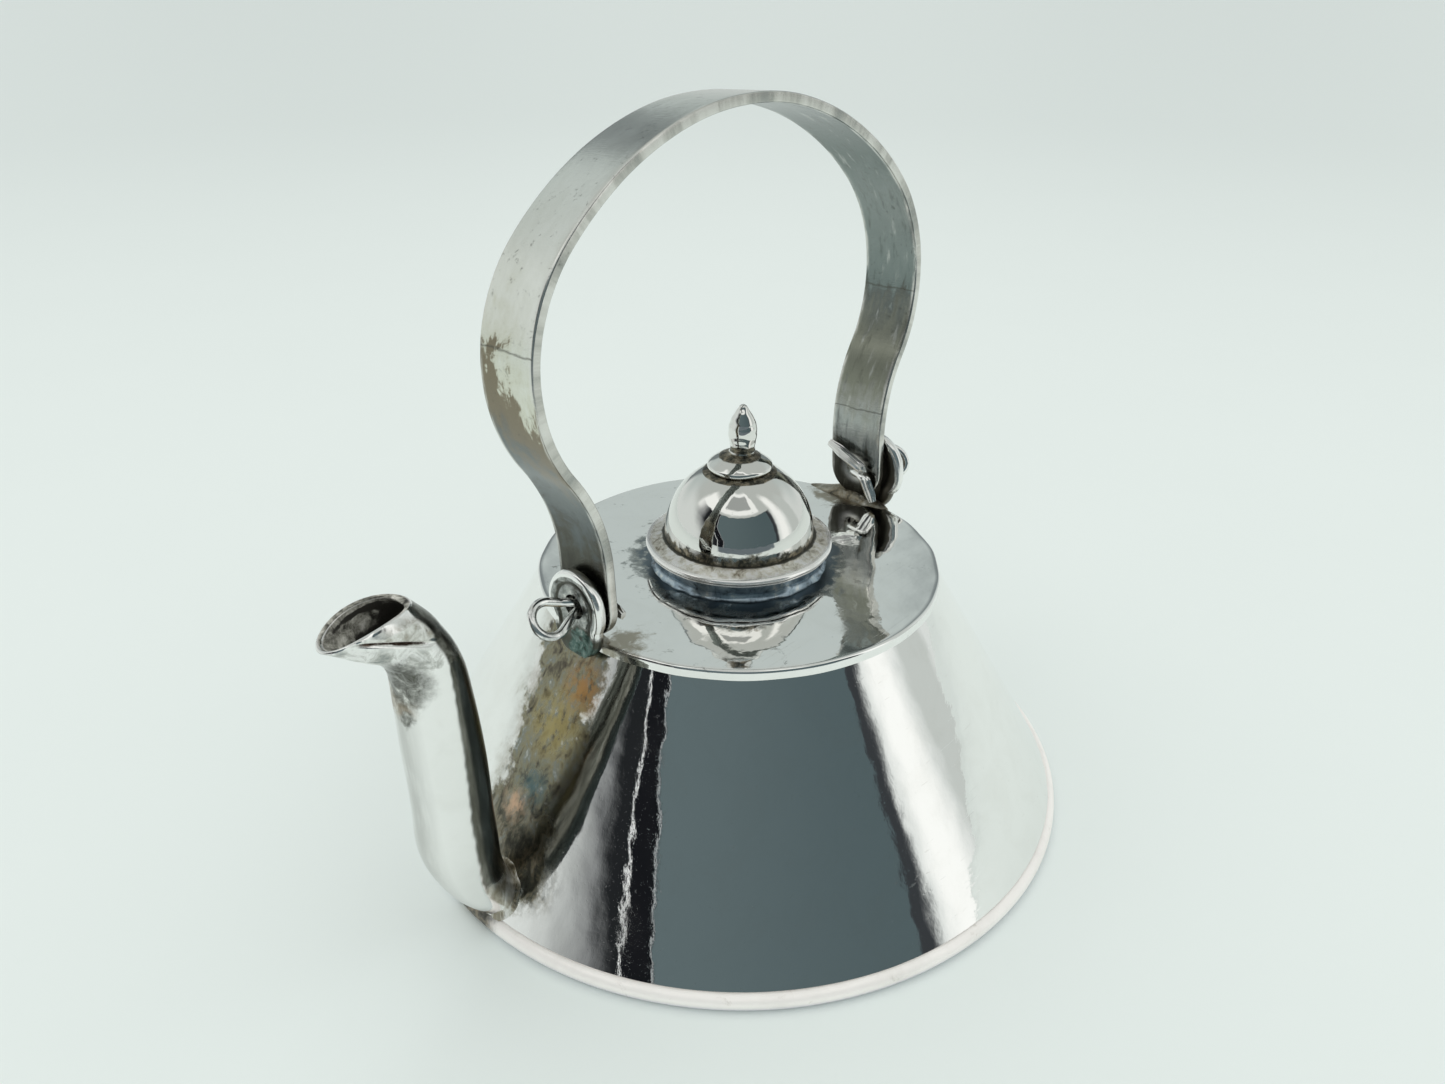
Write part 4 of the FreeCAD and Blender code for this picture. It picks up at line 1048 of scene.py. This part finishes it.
def make_lug(name, side, radius, offset, seed, finish, node):
    """Round tab with a hole, standing on the edge of the shoulder. Side is -1 at the spout. Its foot is
    narrowed to a round tongue."""
    edge, outward = lug_edge(radius, offset)
    hole = np.array([0.0, PIVOT_HEIGHT])
    rim = np.arange(len(edge))
    middle = side * (LUG_INNER_FACE + LUG_SHEET / 2)
    grids, worn, grooves = [], [], []
    sheets = drilled_plate(edge, outward, rim, hole, LUG_HOLE, LUG_SHEET, LUG_EDGE_ROUND, LUG_GROOVE)
    for number, (points, close_rows, close_columns) in enumerate(sheets):
        width, height, through = np.moveaxis(points, -1, 0)
        bearing = np.arctan2(height - PIVOT_HEIGHT, width)
        swell = np.clip(np.hypot(width, height - PIVOT_HEIGHT) - 1, 0, 1)
        swell = 1 + 0.05 * swell * uneven(bearing, 0 * bearing, seed, turns=7)
        outer = np.hypot(width + offset, height - PIVOT_HEIGHT) > radius - LUG_EDGE_ROUND * 1.3
        worn.append(outer * np.clip((height - 18.6) / 1.4, 0, 1))
        share = np.linspace(0, 1, len(points))[:, None] + 0 * width
        grooves.append(ring_groove(share) if number < 2 else 0 * width)
        low = np.clip((LUG_TONGUE_TOP - height) / (LUG_TONGUE_TOP - LUG_FOOT), 0, 1)
        width = (width + offset) * np.sqrt(1 - 0.9 * low ** 2) - offset
        height = height + 0.9 * low
        tab = np.stack([middle + side * through, width * swell, height], -1)
        grids.append((tab, close_rows, close_columns))
    marks = {"worn": worn, "groove": grooves}
    piece(name, grids, finish, node, marks=marks)


def make_lug_solder(name, side, heap, seed, finish, node):
    """Solder at the foot of a lug: a lumpy ridge along the edge of the plate, highest at the lug and run out
    to nothing at both ends."""
    first, last, depth, rise_to = heap
    share = np.linspace(0, 1, 96)[:, None]
    turn = np.linspace(0, FULL_TURN, 32, endpoint=False)[None, :]
    bearing = np.radians(first + (last - first) * share)
    runout = np.sqrt(np.clip(1 - (2 * share - 1) ** 2, 0, 1))
    peak = np.exp(-((2 * share - 1) / 0.5) ** 2)
    lump = 1 + 0.35 * uneven(turn, share, seed, turns=4, rises=4.0, count=14)
    radius = SHOULDER_RADIUS - 0.35 + depth * runout * lump * np.cos(turn)
    z = SHOULDER_TOP - 0.15 + rise_to * runout * (0.4 + 0.6 * peak) * lump * np.sin(turn)
    ridge = np.stack([side * radius * np.cos(bearing), radius * np.sin(bearing), z], -1)
    piece(name, [grid(ridge)], finish, node)


# Handle

def arch_line(count):
    """Middle line of the strap from the right foot over the crown to the left: places and directions.
    Foot, haunch and crown are arcs that run into one another, and the left half mirrors the right."""
    foot_centre = np.array([STRAP_HALF_SPAN + FOOT_RADIUS, STRAP_STRAIGHT_TOP])
    crown_centre = np.array([0.0, ARCH_CENTRE])
    near = ARCH_RADIUS - HAUNCH_RADIUS
    far = HAUNCH_RADIUS + FOOT_RADIUS
    gap = foot_centre - crown_centre
    span = np.hypot(*gap)
    along = (near ** 2 - far ** 2 + span ** 2) / (2 * span)
    unit = gap / span
    square = np.array([-unit[1], unit[0]])
    haunch_centre = crown_centre + unit * along + square * math.sqrt(near ** 2 - along ** 2)
    join = math.degrees(math.atan2(*(foot_centre - haunch_centre)[::-1]))
    top = math.degrees(math.atan2(*(haunch_centre - crown_centre)[::-1]))
    arcs = (
        (foot_centre, FOOT_RADIUS, 180.0, 180.0 + join),
        (haunch_centre, HAUNCH_RADIUS, join, top),
        (crown_centre, ARCH_RADIUS, top, 90.0),
    )
    places, ways = [], []
    for centre, radius, first, last in arcs:
        places.append(bow(centre, radius, first, last, count))
        angle = np.radians(np.linspace(first, last, count, endpoint=False))
        sense = 1 if last > first else -1
        ways.append(sense * np.stack([-np.sin(angle), np.cos(angle)], -1))
    places.append([(0.0, ARCH_CENTRE + ARCH_RADIUS)])
    ways.append([(-1.0, 0.0)])
    places, ways = np.concatenate(places), np.concatenate(ways)
    mirror = np.array([-1.0, 1.0])
    places = np.concatenate([places, places[-2::-1] * mirror])
    ways = np.concatenate([ways, -ways[-2::-1] * mirror])
    return places, ways


def strap_end_edge(across):
    """Outline of a strap end without its edge rounding, from the top line round the rounded foot."""
    half = STRAP_WIDTH / 2 - STRAP_EDGE_ROUND
    curve = STRAP_END_ROUND - STRAP_EDGE_ROUND
    knee = STRAP_END + STRAP_END_ROUND
    side = straight((half, STRAP_STRAIGHT_TOP), (half, knee), 8)[1:]
    right = bow((half - curve, knee), curve, 0, -90, 16)
    left = bow((curve - half, knee), curve, -90, -180, 16)
    up = straight((-half, knee), (-half, STRAP_STRAIGHT_TOP), 8)
    top = np.stack([across, np.full(len(across), STRAP_STRAIGHT_TOP)], -1)
    edge = np.concatenate([top, side, right, left, up])
    facing = np.concatenate([
        np.repeat([(0.0, 1.0)], len(top), 0), np.repeat([(1.0, 0.0)], len(side), 0),
        (right - (half - curve, knee)) / curve, (left - (curve - half, knee)) / curve,
        np.repeat([(-1.0, 0.0)], len(up), 0),
    ])
    facing[0] = (-1.0, 0.0)
    facing[len(top) - 1] = (1.0, 0.0)
    rim = np.concatenate([np.arange(len(top) - 1, len(edge)), [0]])
    return edge, facing, rim


def lean_back(points):
    """Turn the handle to its rest pose, a little back about the pivot line."""
    x, y, z = np.moveaxis(points, -1, 0)
    z = z - PIVOT_HEIGHT
    cos, sin = math.cos(HANDLE_LEAN), math.sin(HANDLE_LEAN)
    return np.stack([x, y * cos + z * sin, PIVOT_HEIGHT - y * sin + z * cos], -1)


def make_strap(finish):
    """Flat strip: a rounded rectangle carried along the arch, and two drilled round ends."""
    half = STRAP_WIDTH / 2 - STRAP_EDGE_ROUND
    across = np.linspace(-half, half, 13)
    out, through = rounded_edge(STRAP_SHEET, STRAP_EDGE_ROUND)
    flat = np.full(len(across), STRAP_SHEET / 2)
    width = np.concatenate([across, half + out[1:-1], across[::-1], -half - out[1:-1]])
    thick = np.concatenate([flat, through[1:-1], -flat, through[-2:0:-1]])
    places, ways = arch_line(44)
    run = np.concatenate([[0], np.cumsum(np.hypot(*np.diff(places, axis=0).T))])
    run -= run[-1] / 2
    share = run[:, None] / run[-1]
    calm = 1 - share ** 4
    wave = 0.05 * uneven(0 * run[:, None], share, 61, rises=7.0, count=12) * calm
    rim = np.sign(width) * (np.abs(width) > half * 0.9)
    nick = 0.02 * uneven(0 * run[:, None], share, 62, rises=24.0, count=16) * calm * rim
    x = places[:, :1] + ways[:, 1:] * (thick + wave)
    z = places[:, 1:] - ways[:, :1] * (thick + wave)
    y = np.broadcast_to(width, x.shape) - nick
    strip = grid(lean_back(np.stack([x, y, z], -1)))
    hole = np.array([0.0, PIVOT_HEIGHT])
    lengthwise = [np.broadcast_to(run[:, None], x.shape)]
    outward = [np.broadcast_to(thick / (STRAP_SHEET / 2), x.shape)]
    crosswise = [np.broadcast_to(width, x.shape)]
    grids = [strip]
    edge, facing, rim = strap_end_edge(across)
    for side in (1, -1):
        ends = drilled_plate(edge, facing, rim, hole, PIVOT_HOLE, STRAP_SHEET, STRAP_EDGE_ROUND)
        for points, close_rows, close_columns in ends:
            w, h, t = np.moveaxis(points, -1, 0)
            shape = np.stack([side * (STRAP_HALF_SPAN + t), w, h], -1)
            grids.append((lean_back(shape), close_rows, close_columns))
            lengthwise.append(side * (run[0] - (STRAP_STRAIGHT_TOP - h)))
            outward.append(t / (STRAP_SHEET / 2))
            crosswise.append(w)
    marks = {"lengthwise": lengthwise, "outward": outward, "crosswise": crosswise}
    piece("handle_strip", grids, finish, "handle_strap", "handle", marks=marks)


def wire_line(side, legs):
    """Middle line of a split pin, from one leg's tip round the drop-shaped eye to the other leg's tip."""
    up_tip, down_tip, sway = legs
    eye = np.array([EYE_CENTRE, 0.0])
    gap = eye - (STRAND_END, STRAND_OFFSET)
    spread = math.degrees(math.asin(EYE_RADIUS / np.hypot(*gap)) + math.atan2(gap[1], gap[0]))
    loop = bow(eye, EYE_RADIUS, 90 + spread, -90 - spread, 72)
    strand = straight((LEG_PLANE + LEG_BEND, STRAND_OFFSET), (STRAND_END, STRAND_OFFSET), 8)
    flare = straight((STRAND_END, STRAND_OFFSET), loop[0], 12)
    upper = np.concatenate([strand, flare])
    plane = np.concatenate([upper, loop, [loop[0] * (1, -1)], upper[::-1] * (1, -1)])
    middle = np.stack([side * plane[:, 0], 0 * plane[:, 0], PIVOT_HEIGHT + plane[:, 1]], -1)
    spread_legs = []
    for tip, up in ((up_tip, 1), (down_tip, -1)):
        inlet = np.array([side * (LEG_PLANE + LEG_BEND), 0.0, PIVOT_HEIGHT + up * STRAND_OFFSET])
        bend = np.array([side * LEG_PLANE, -sway, PIVOT_HEIGHT + up * STRAND_OFFSET])
        end = np.array([side * LEG_PLANE, tip[0], PIVOT_HEIGHT + tip[1]])
        way = (end - bend) / np.linalg.norm(end - bend)
        share = np.linspace(1, 0, 10)[:, None]
        rest = 1 - share
        curve = inlet * rest ** 2 + 2 * bend * share * rest + (bend + LEG_BEND * way) * share ** 2
        leg = straight(end, bend + LEG_ROOT * way, 12)
        spread_legs.append(np.concatenate([leg, curve[:-1]]))
    return np.concatenate([spread_legs[0], middle, spread_legs[1][::-1]]), len(leg) + len(curve) - 1


def turn_eye(line, twist, lean):
    """Twist the eye of a pin about the pin's axis, and lean it to the side."""
    x, y, z = np.moveaxis(line, -1, 0)
    z = z - PIVOT_HEIGHT
    out = np.abs(x) - LUG_INNER_FACE - LUG_SHEET / 2
    share = np.clip(out, 0, 1)
    angle = np.radians(twist) * share ** 2 * (3 - 2 * share)
    y, z = y * np.cos(angle) - z * np.sin(angle), y * np.sin(angle) + z * np.cos(angle)
    past = np.clip(np.abs(x) - STRAND_END, 0, None)
    y = y - past * math.sin(math.radians(lean))
    x = x - np.sign(x) * past * (1 - math.cos(math.radians(lean)))
    return np.stack([x, y, PIVOT_HEIGHT + z], -1)


def make_pin(name, side, legs, eye, finish, node):
    """Bent wire: a round section carried along its line, flattened where the legs are spread. The frame's
    node and body of a pin have the same name."""
    line, leg = wire_line(side, legs)
    line = turn_eye(line, *eye)
    way = np.gradient(line, axis=0)
    way /= np.linalg.norm(way, axis=1, keepdims=True)
    first = np.cross(way, (0.0, 1.0, 0.0))
    first /= np.linalg.norm(first, axis=1, keepdims=True)
    second = np.cross(way, first)
    steps = 40
    turn = np.linspace(0, FULL_TURN, steps, endpoint=False)[None, :, None]
    number = np.arange(len(line))[:, None, None]
    from_end = np.minimum(number, len(line) - 1 - number)
    spread = np.clip((leg - 3 - from_end) / 6, 0, 1)
    broad = 1 + 1.2 * spread * np.clip(0.3 + from_end / 6, 0, 1)
    lobes = 1 - 0.1 * spread * (1 + np.cos(6 * turn))
    stout = 1 + 0.2 * np.clip((np.abs(line[:, :1, None]) - STRAND_END) / 0.6, 0, 1)
    ring = np.cos(turn) * first[:, None] + broad * np.sin(turn) * second[:, None]
    tube = line[:, None] + WIRE_RADIUS * stout * lobes * ring
    caps = [np.repeat(tube[i][None].mean(1, keepdims=True), steps, 1) for i in (0, -1)]
    skin = grid(np.concatenate([caps[0], tube, caps[1]]))
    piece(name, [skin], finish, node, node, sharp=50)


# Lid

def make_lid(lid, flange, collar):
    """Bezel, flange with a double rim, dome, stepped cap and bud finial, each turned about the axis."""
    bezel = outline(
        (BEZEL_BORE, BEZEL_FOOT, 3), (BEZEL_RADIUS, BEZEL_FOOT, 8), (BEZEL_RADIUS, FLANGE_UNDERSIDE, 3),
        (BEZEL_BORE, FLANGE_UNDERSIDE, 8),
    )

    def worn(angle, along, radius, height):
        return 0.02 * uneven(angle, height, 71, turns=12), 0.0

    piece("lid_bezel_ring", [turned(bezel, 192, worn)], collar, "lid_bezel", "lid")

    r, drop = FLANGE_RADIUS, FLANGE_UNDERSIDE
    beads = [
        bow((r - inset, drop + up), size, first, last, count)
        for inset, up, size, first, last, count in FLANGE_BEADS
    ]
    rim = outline(
        (BEZEL_BORE, drop, 10), (r - 0.6, drop, 3), (r - 0.45, drop - 0.3, 0), *beads,
        (r - 0.14, drop + 0.22, 12), (DOME_RADIUS, FLANGE_TOP, 4), (BEZEL_BORE, FLANGE_TOP, 3),
    )

    def rubbed(angle, along, radius, height):
        outside = np.clip((radius - BEZEL_RADIUS) / 1.4, 0, 1)
        wave = uneven(angle, 0 * along, 72, turns=16, count=12)
        return outside * (0.06 * wave - 0.03), 0.0

    piece("lid_flange_ring", [turned(rim, 288, rubbed)], flange, "lid_flange", "lid")

    foot = math.degrees(math.asin((FLANGE_TOP - DOME_CENTRE) / DOME_RADIUS))
    shell = DOME_RADIUS - DOME_SHEET
    top = math.degrees(math.acos(PEG_RADIUS / DOME_RADIUS))
    dome = outline(
        bow((0, DOME_CENTRE), DOME_RADIUS, foot, top, 64), bow((0, DOME_CENTRE), shell, top, foot, 32),
    )

    def raised(angle, along, radius, height):
        low = np.clip((height - FLANGE_TOP) / 0.8, 0, 1)
        return low * (0.045 * uneven(angle, height / DOME_RADIUS, 73, turns=5, rises=1.2) - 0.01), 0.0

    piece("lid_raised_dome", [turned(dome, 256, raised)], lid, "lid_dome", "lid")

    edge = CAP_EDGE_ROUND
    rim_centre = np.array([CAP_RADIUS - edge, CAP_LOWER_EDGE + edge])
    end = math.radians(CAP_EDGE_END)
    crest = rim_centre + edge * np.array([math.cos(end), math.sin(end)])
    share = np.linspace(0, 1, 14, endpoint=False)[:, None]
    neck = np.array([CAP_TOP_RADIUS + 0.1, CAP_TOP])
    slope = crest * (1 - share) ** 2 + 2 * share * (1 - share) * CAP_BULGE + share ** 2 * neck
    cap = outline(
        (PEG_RADIUS, CAP_UNDERSIDE, 4), (CAP_LAND, CAP_UNDERSIDE, 3), (CAP_LAND, CAP_LOWER_EDGE, 0),
        bow(rim_centre, edge, -90, CAP_EDGE_END, 12), slope, (CAP_TOP_RADIUS, CAP_TOP, 4),
        (PEG_RADIUS, CAP_TOP, 4),
    )

    def filed(angle, along, radius, height):
        return np.clip(radius - 1, 0, 1) * (0.04 * uneven(angle, height, 74, turns=7) - 0.03), 0.0

    piece("lid_stepped_cap", [turned(cap, 160, filed)], lid, "lid_cap", "lid")

    heights = np.linspace(BUD_HEIGHTS[0], BUD_HEIGHTS[-1], 56)
    radii = smooth_through(np.array(BUD_HEIGHTS), np.array(BUD_RADII)[:, None], heights)[:, 0]
    peg, peg_foot, seat = PEG_RADIUS - 0.02, CAP_UNDERSIDE + 0.1, CAP_TOP - 0.2
    finial = outline(
        (0, peg_foot, 1), (peg, peg_foot, 4), (peg, seat, 3), (BUD_RADII[0], seat, 1),
        np.stack([radii, heights], -1), (0.1, FINIAL_TOP - 0.03, 1), (0, FINIAL_TOP, 1),
    )

    def chased(angle, along, radius, height):
        return (height > CAP_TOP) * 0.035 * (uneven(angle, height, 75, turns=4) - 0.4) * (radius > 0.3), 0.0

    bud, close_rows, close_columns = turned(finial, 96, chased)
    bud[..., :2] += np.array(BUD_SHIFT) * np.clip((bud[..., 2:] - CAP_TOP) / 0.5 + 0.6, 0, 1)
    piece("lid_bud_finial", [(bud, close_rows, close_columns)], lid, "lid_finial", "lid")


# Floor, studio and camera

def make_floor():
    """Wide pale table top: a flat disc of rings. Its colour darkens away from the middle as painted light
    falloff, and a slate patch on the near side shows only in mirrored rays, as a painted reflection of a
    dark card.
    """
    ring = np.concatenate([[0.0], np.geomspace(20, 3000, 24)])[:, None]
    angle = np.linspace(0, FULL_TURN, 64, endpoint=False)[None, :]
    points = np.stack([ring * np.cos(angle), ring * np.sin(angle), -0.02 + 0 * ring * angle], -1)
    mesh = bpy.data.meshes.new("floor")
    quads = quads_of(len(ring), 64, False, True, 0)
    mesh.from_pydata((points.reshape(-1, 3) * MM).tolist(), [], quads.tolist())
    material = bpy.data.materials.new("pale_table")
    material.use_nodes = True
    nodes = Nodes(material.node_tree)
    shader = material.node_tree.nodes["Principled BSDF"]
    shader.inputs["Roughness"].default_value = 0.6
    place = nodes.add("ShaderNodeTexCoord", output=3)
    cloud = nodes.noise(place, 30.0, 5.0)
    tone = nodes.mix(cloud, colour(0.775, 0.85, 0.82), colour(0.795, 0.87, 0.84))
    distance = nodes.vector("LENGTH", place, output=1)
    # Painted light falloff: the table darkens away from the middle.
    tone = nodes.mix(nodes.ramp(distance, 0.05, 0.45), tone, colour(0.7, 0.77, 0.745))
    side, near, _ = nodes.from_camera(place)
    breadth = nodes.window(nodes.math("DIVIDE", side, near), -1.3, 0.6, 0.05)
    beyond = nodes.product(nodes.ramp(near, -0.11, -0.12), breadth)
    # Painted reflection: a slate patch on the near side of the table, seen only in mirrored rays, stands in
    # for a dark card.
    mirrored = nodes.tree.nodes.new("ShaderNodeLightPath").outputs["Is Glossy Ray"]
    tone = nodes.mix(nodes.product(beyond, mirrored), tone, SLATE)
    nodes.join(shader.inputs["Base Color"], tone)
    mesh.materials.append(material)
    floor = bpy.data.objects.new("floor", mesh)
    bpy.context.scene.collection.objects.link(floor)


def make_studio():
    """White tent all round, with a grey far side and two dark flats there, bright strips at both sides and
    a dark card on the near side.
    Azimuth is counted from the near side, to the right, and height above the table, in degrees."""
    world = bpy.data.worlds.new("studio")
    world.use_nodes = True
    bpy.context.scene.world = world
    nodes = Nodes(world.node_tree)
    background = world.node_tree.nodes["Background"]
    ray = nodes.add("ShaderNodeTexCoord", output=0)
    x, y, z = nodes.from_camera(ray)
    azimuth = nodes.math("DEGREES", nodes.math("ARCTAN2", x, nodes.math("MULTIPLY", y, -1.0)))
    height = nodes.math("DEGREES", nodes.math("ARCSINE", z))
    sideways = nodes.math("ABSOLUTE", azimuth)

    tent = nodes.mix(nodes.ramp(height, 24, 40), colour(0.72, 0.76, 0.745), colour(0.52, 0.55, 0.53))
    right = nodes.product(nodes.window(azimuth, 68, 83, 5), nodes.window(height, -20, 62, 8))
    left = nodes.product(nodes.window(azimuth, -96, -52, 5), nodes.window(height, 34, 62, 4))
    near = nodes.ramp(height, 45, 43)
    level = nodes.math("MINIMUM", nodes.math("MAXIMUM", height, 8.0), 28.0)
    slanted = nodes.plus(azimuth, level, 0.77)
    leaning = nodes.plus(azimuth, level, 1.4)
    front = nodes.product(nodes.ramp(azimuth, 66, 61), near)
    gloom = nodes.mix(nodes.ramp(azimuth, 0, 40), colour(0.015, 0.017, 0.019), colour(0.04, 0.045, 0.05))
    slate = nodes.mix(nodes.ramp(azimuth, -30, 55), colour(0.112, 0.152, 0.162), colour(0.085, 0.12, 0.13))
    far = nodes.product(nodes.ramp(sideways, 105, 150), nodes.window(height, 12, 40, 8))
    flats = nodes.product(nodes.window(sideways, 151, 168, 4), nodes.ramp(height, 60, 50))
    fold = nodes.product(nodes.window(azimuth, 88, 107, 3), nodes.window(height, -20, 45, 8))
    frame_edge = nodes.product(nodes.window(azimuth, -52, 46, 3), nodes.window(height, 48, 82, 2))
    panel = nodes.product(nodes.window(azimuth, -36, 30, 2), nodes.window(height, 55, 76, 1.5))
    dusk = nodes.product(nodes.ramp(leaning, -60, -28), front)
    shade = nodes.product(nodes.ramp(leaning, -35, -24), front)
    card = nodes.product(nodes.ramp(slanted, -15.8, -15.2), nodes.ramp(azimuth, 58.6, 57.4), near)
    slit = nodes.product(nodes.window(slanted, -25.4, -16.8, 0.4), near)
    rib = nodes.product(nodes.window(slanted, -26.4, -25.6, 0.3), near)
    seam = nodes.product(nodes.window(slanted, -16.6, -15.9, 0.2), near)
    layers = (
        (far, colour(0.5, 0.56, 0.55)), (flats, colour(0.2, 0.23, 0.235)),
        (nodes.math("MAXIMUM", right, left), colour(1.02, 1.04, 1.02)), (fold, colour(0.56, 0.6, 0.58)),
        (frame_edge, colour(0.98, 1.0, 0.98)), (panel, colour(0.38, 0.4, 0.39)),
        (dusk, colour(0.2, 0.21, 0.215)), (shade, gloom), (card, slate), (slit, colour(0.008, 0.009, 0.011)),
        (rib, colour(0.85, 0.88, 0.88)), (seam, colour(0.4, 0.43, 0.44)),
    )
    for mask, tone in layers:
        tent = nodes.mix(mask, tent, tone)

    paths = nodes.tree.nodes.new("ShaderNodeLightPath").outputs
    plain = nodes.mix(nodes.ramp(height, 0, 80), colour(0.86, 0.86, 0.86), colour(1.12, 1.12, 1.11))
    light = nodes.mix(paths["Is Glossy Ray"], plain, tent)
    light = nodes.mix(paths["Is Camera Ray"], light, colour(0.672, 0.738, 0.708))
    nodes.join(background.inputs["Color"], light)
    background.inputs["Strength"].default_value = 1.0


def make_camera():
    """Camera at the height, distance and turn of the view that the kettle is shown from."""
    camera = bpy.data.cameras.new("camera")
    camera.sensor_fit = "HORIZONTAL"
    camera.sensor_width = CAMERA_FILM
    camera.lens = CAMERA_LENS
    camera.clip_start = 0.001
    camera.clip_end = 20.0
    thing = bpy.data.objects.new("camera", camera)
    around = Matrix.Rotation(-CAMERA_AZIMUTH, 4, "Z")
    place = Matrix.Translation(Vector((0, -CAMERA_DISTANCE, CAMERA_HEIGHT)) * MM)
    aim = Matrix.Rotation(math.pi / 2 - CAMERA_DROP, 4, "X")
    pan = Matrix.Rotation(CAMERA_PAN, 4, "Y")
    tilt = Matrix.Rotation(CAMERA_TILT, 4, "X")
    roll = Matrix.Rotation(CAMERA_ROLL, 4, "Z")
    thing.matrix_world = around @ place @ aim @ pan @ tilt @ roll
    bpy.context.scene.collection.objects.link(thing)
    bpy.context.scene.camera = thing


def main():
    solder = solder_finish()
    collar = collar_finish()
    lug = lug_finish()
    wire = wire_finish()
    make_base(base_finish())
    make_wall(wall_finish())
    make_shoulder(shoulder_finish())
    make_collar(collar)
    make_spout(spout_finish(), nose_finish(), foot_finish())
    make_lug("front_lug_tab", -1, FRONT_LUG_RADIUS, 0.0, 81, lug, "front_lug")
    make_lug("rear_lug_tab", 1, REAR_LUG_RADIUS, REAR_LUG_OFFSET, 82, lug, "rear_lug")
    make_lug_solder("front_lug_heap", -1, FRONT_HEAP, 83, solder, "front_lug_solder")
    make_lug_solder("rear_lug_heap", 1, REAR_HEAP, 84, solder, "rear_lug_solder")
    make_strap(strap_finish())
    make_pin("front_split_pin", -1, FRONT_LEGS, FRONT_EYE, wire, "front_pin")
    make_pin("rear_split_pin", 1, REAR_LEGS, REAR_EYE, wire, "rear_pin")
    make_lid(lid_finish(), flange_finish(), collar)
    make_floor()
    make_studio()
    make_camera()
    bpy.context.scene.view_settings.view_transform = "Standard"


main()
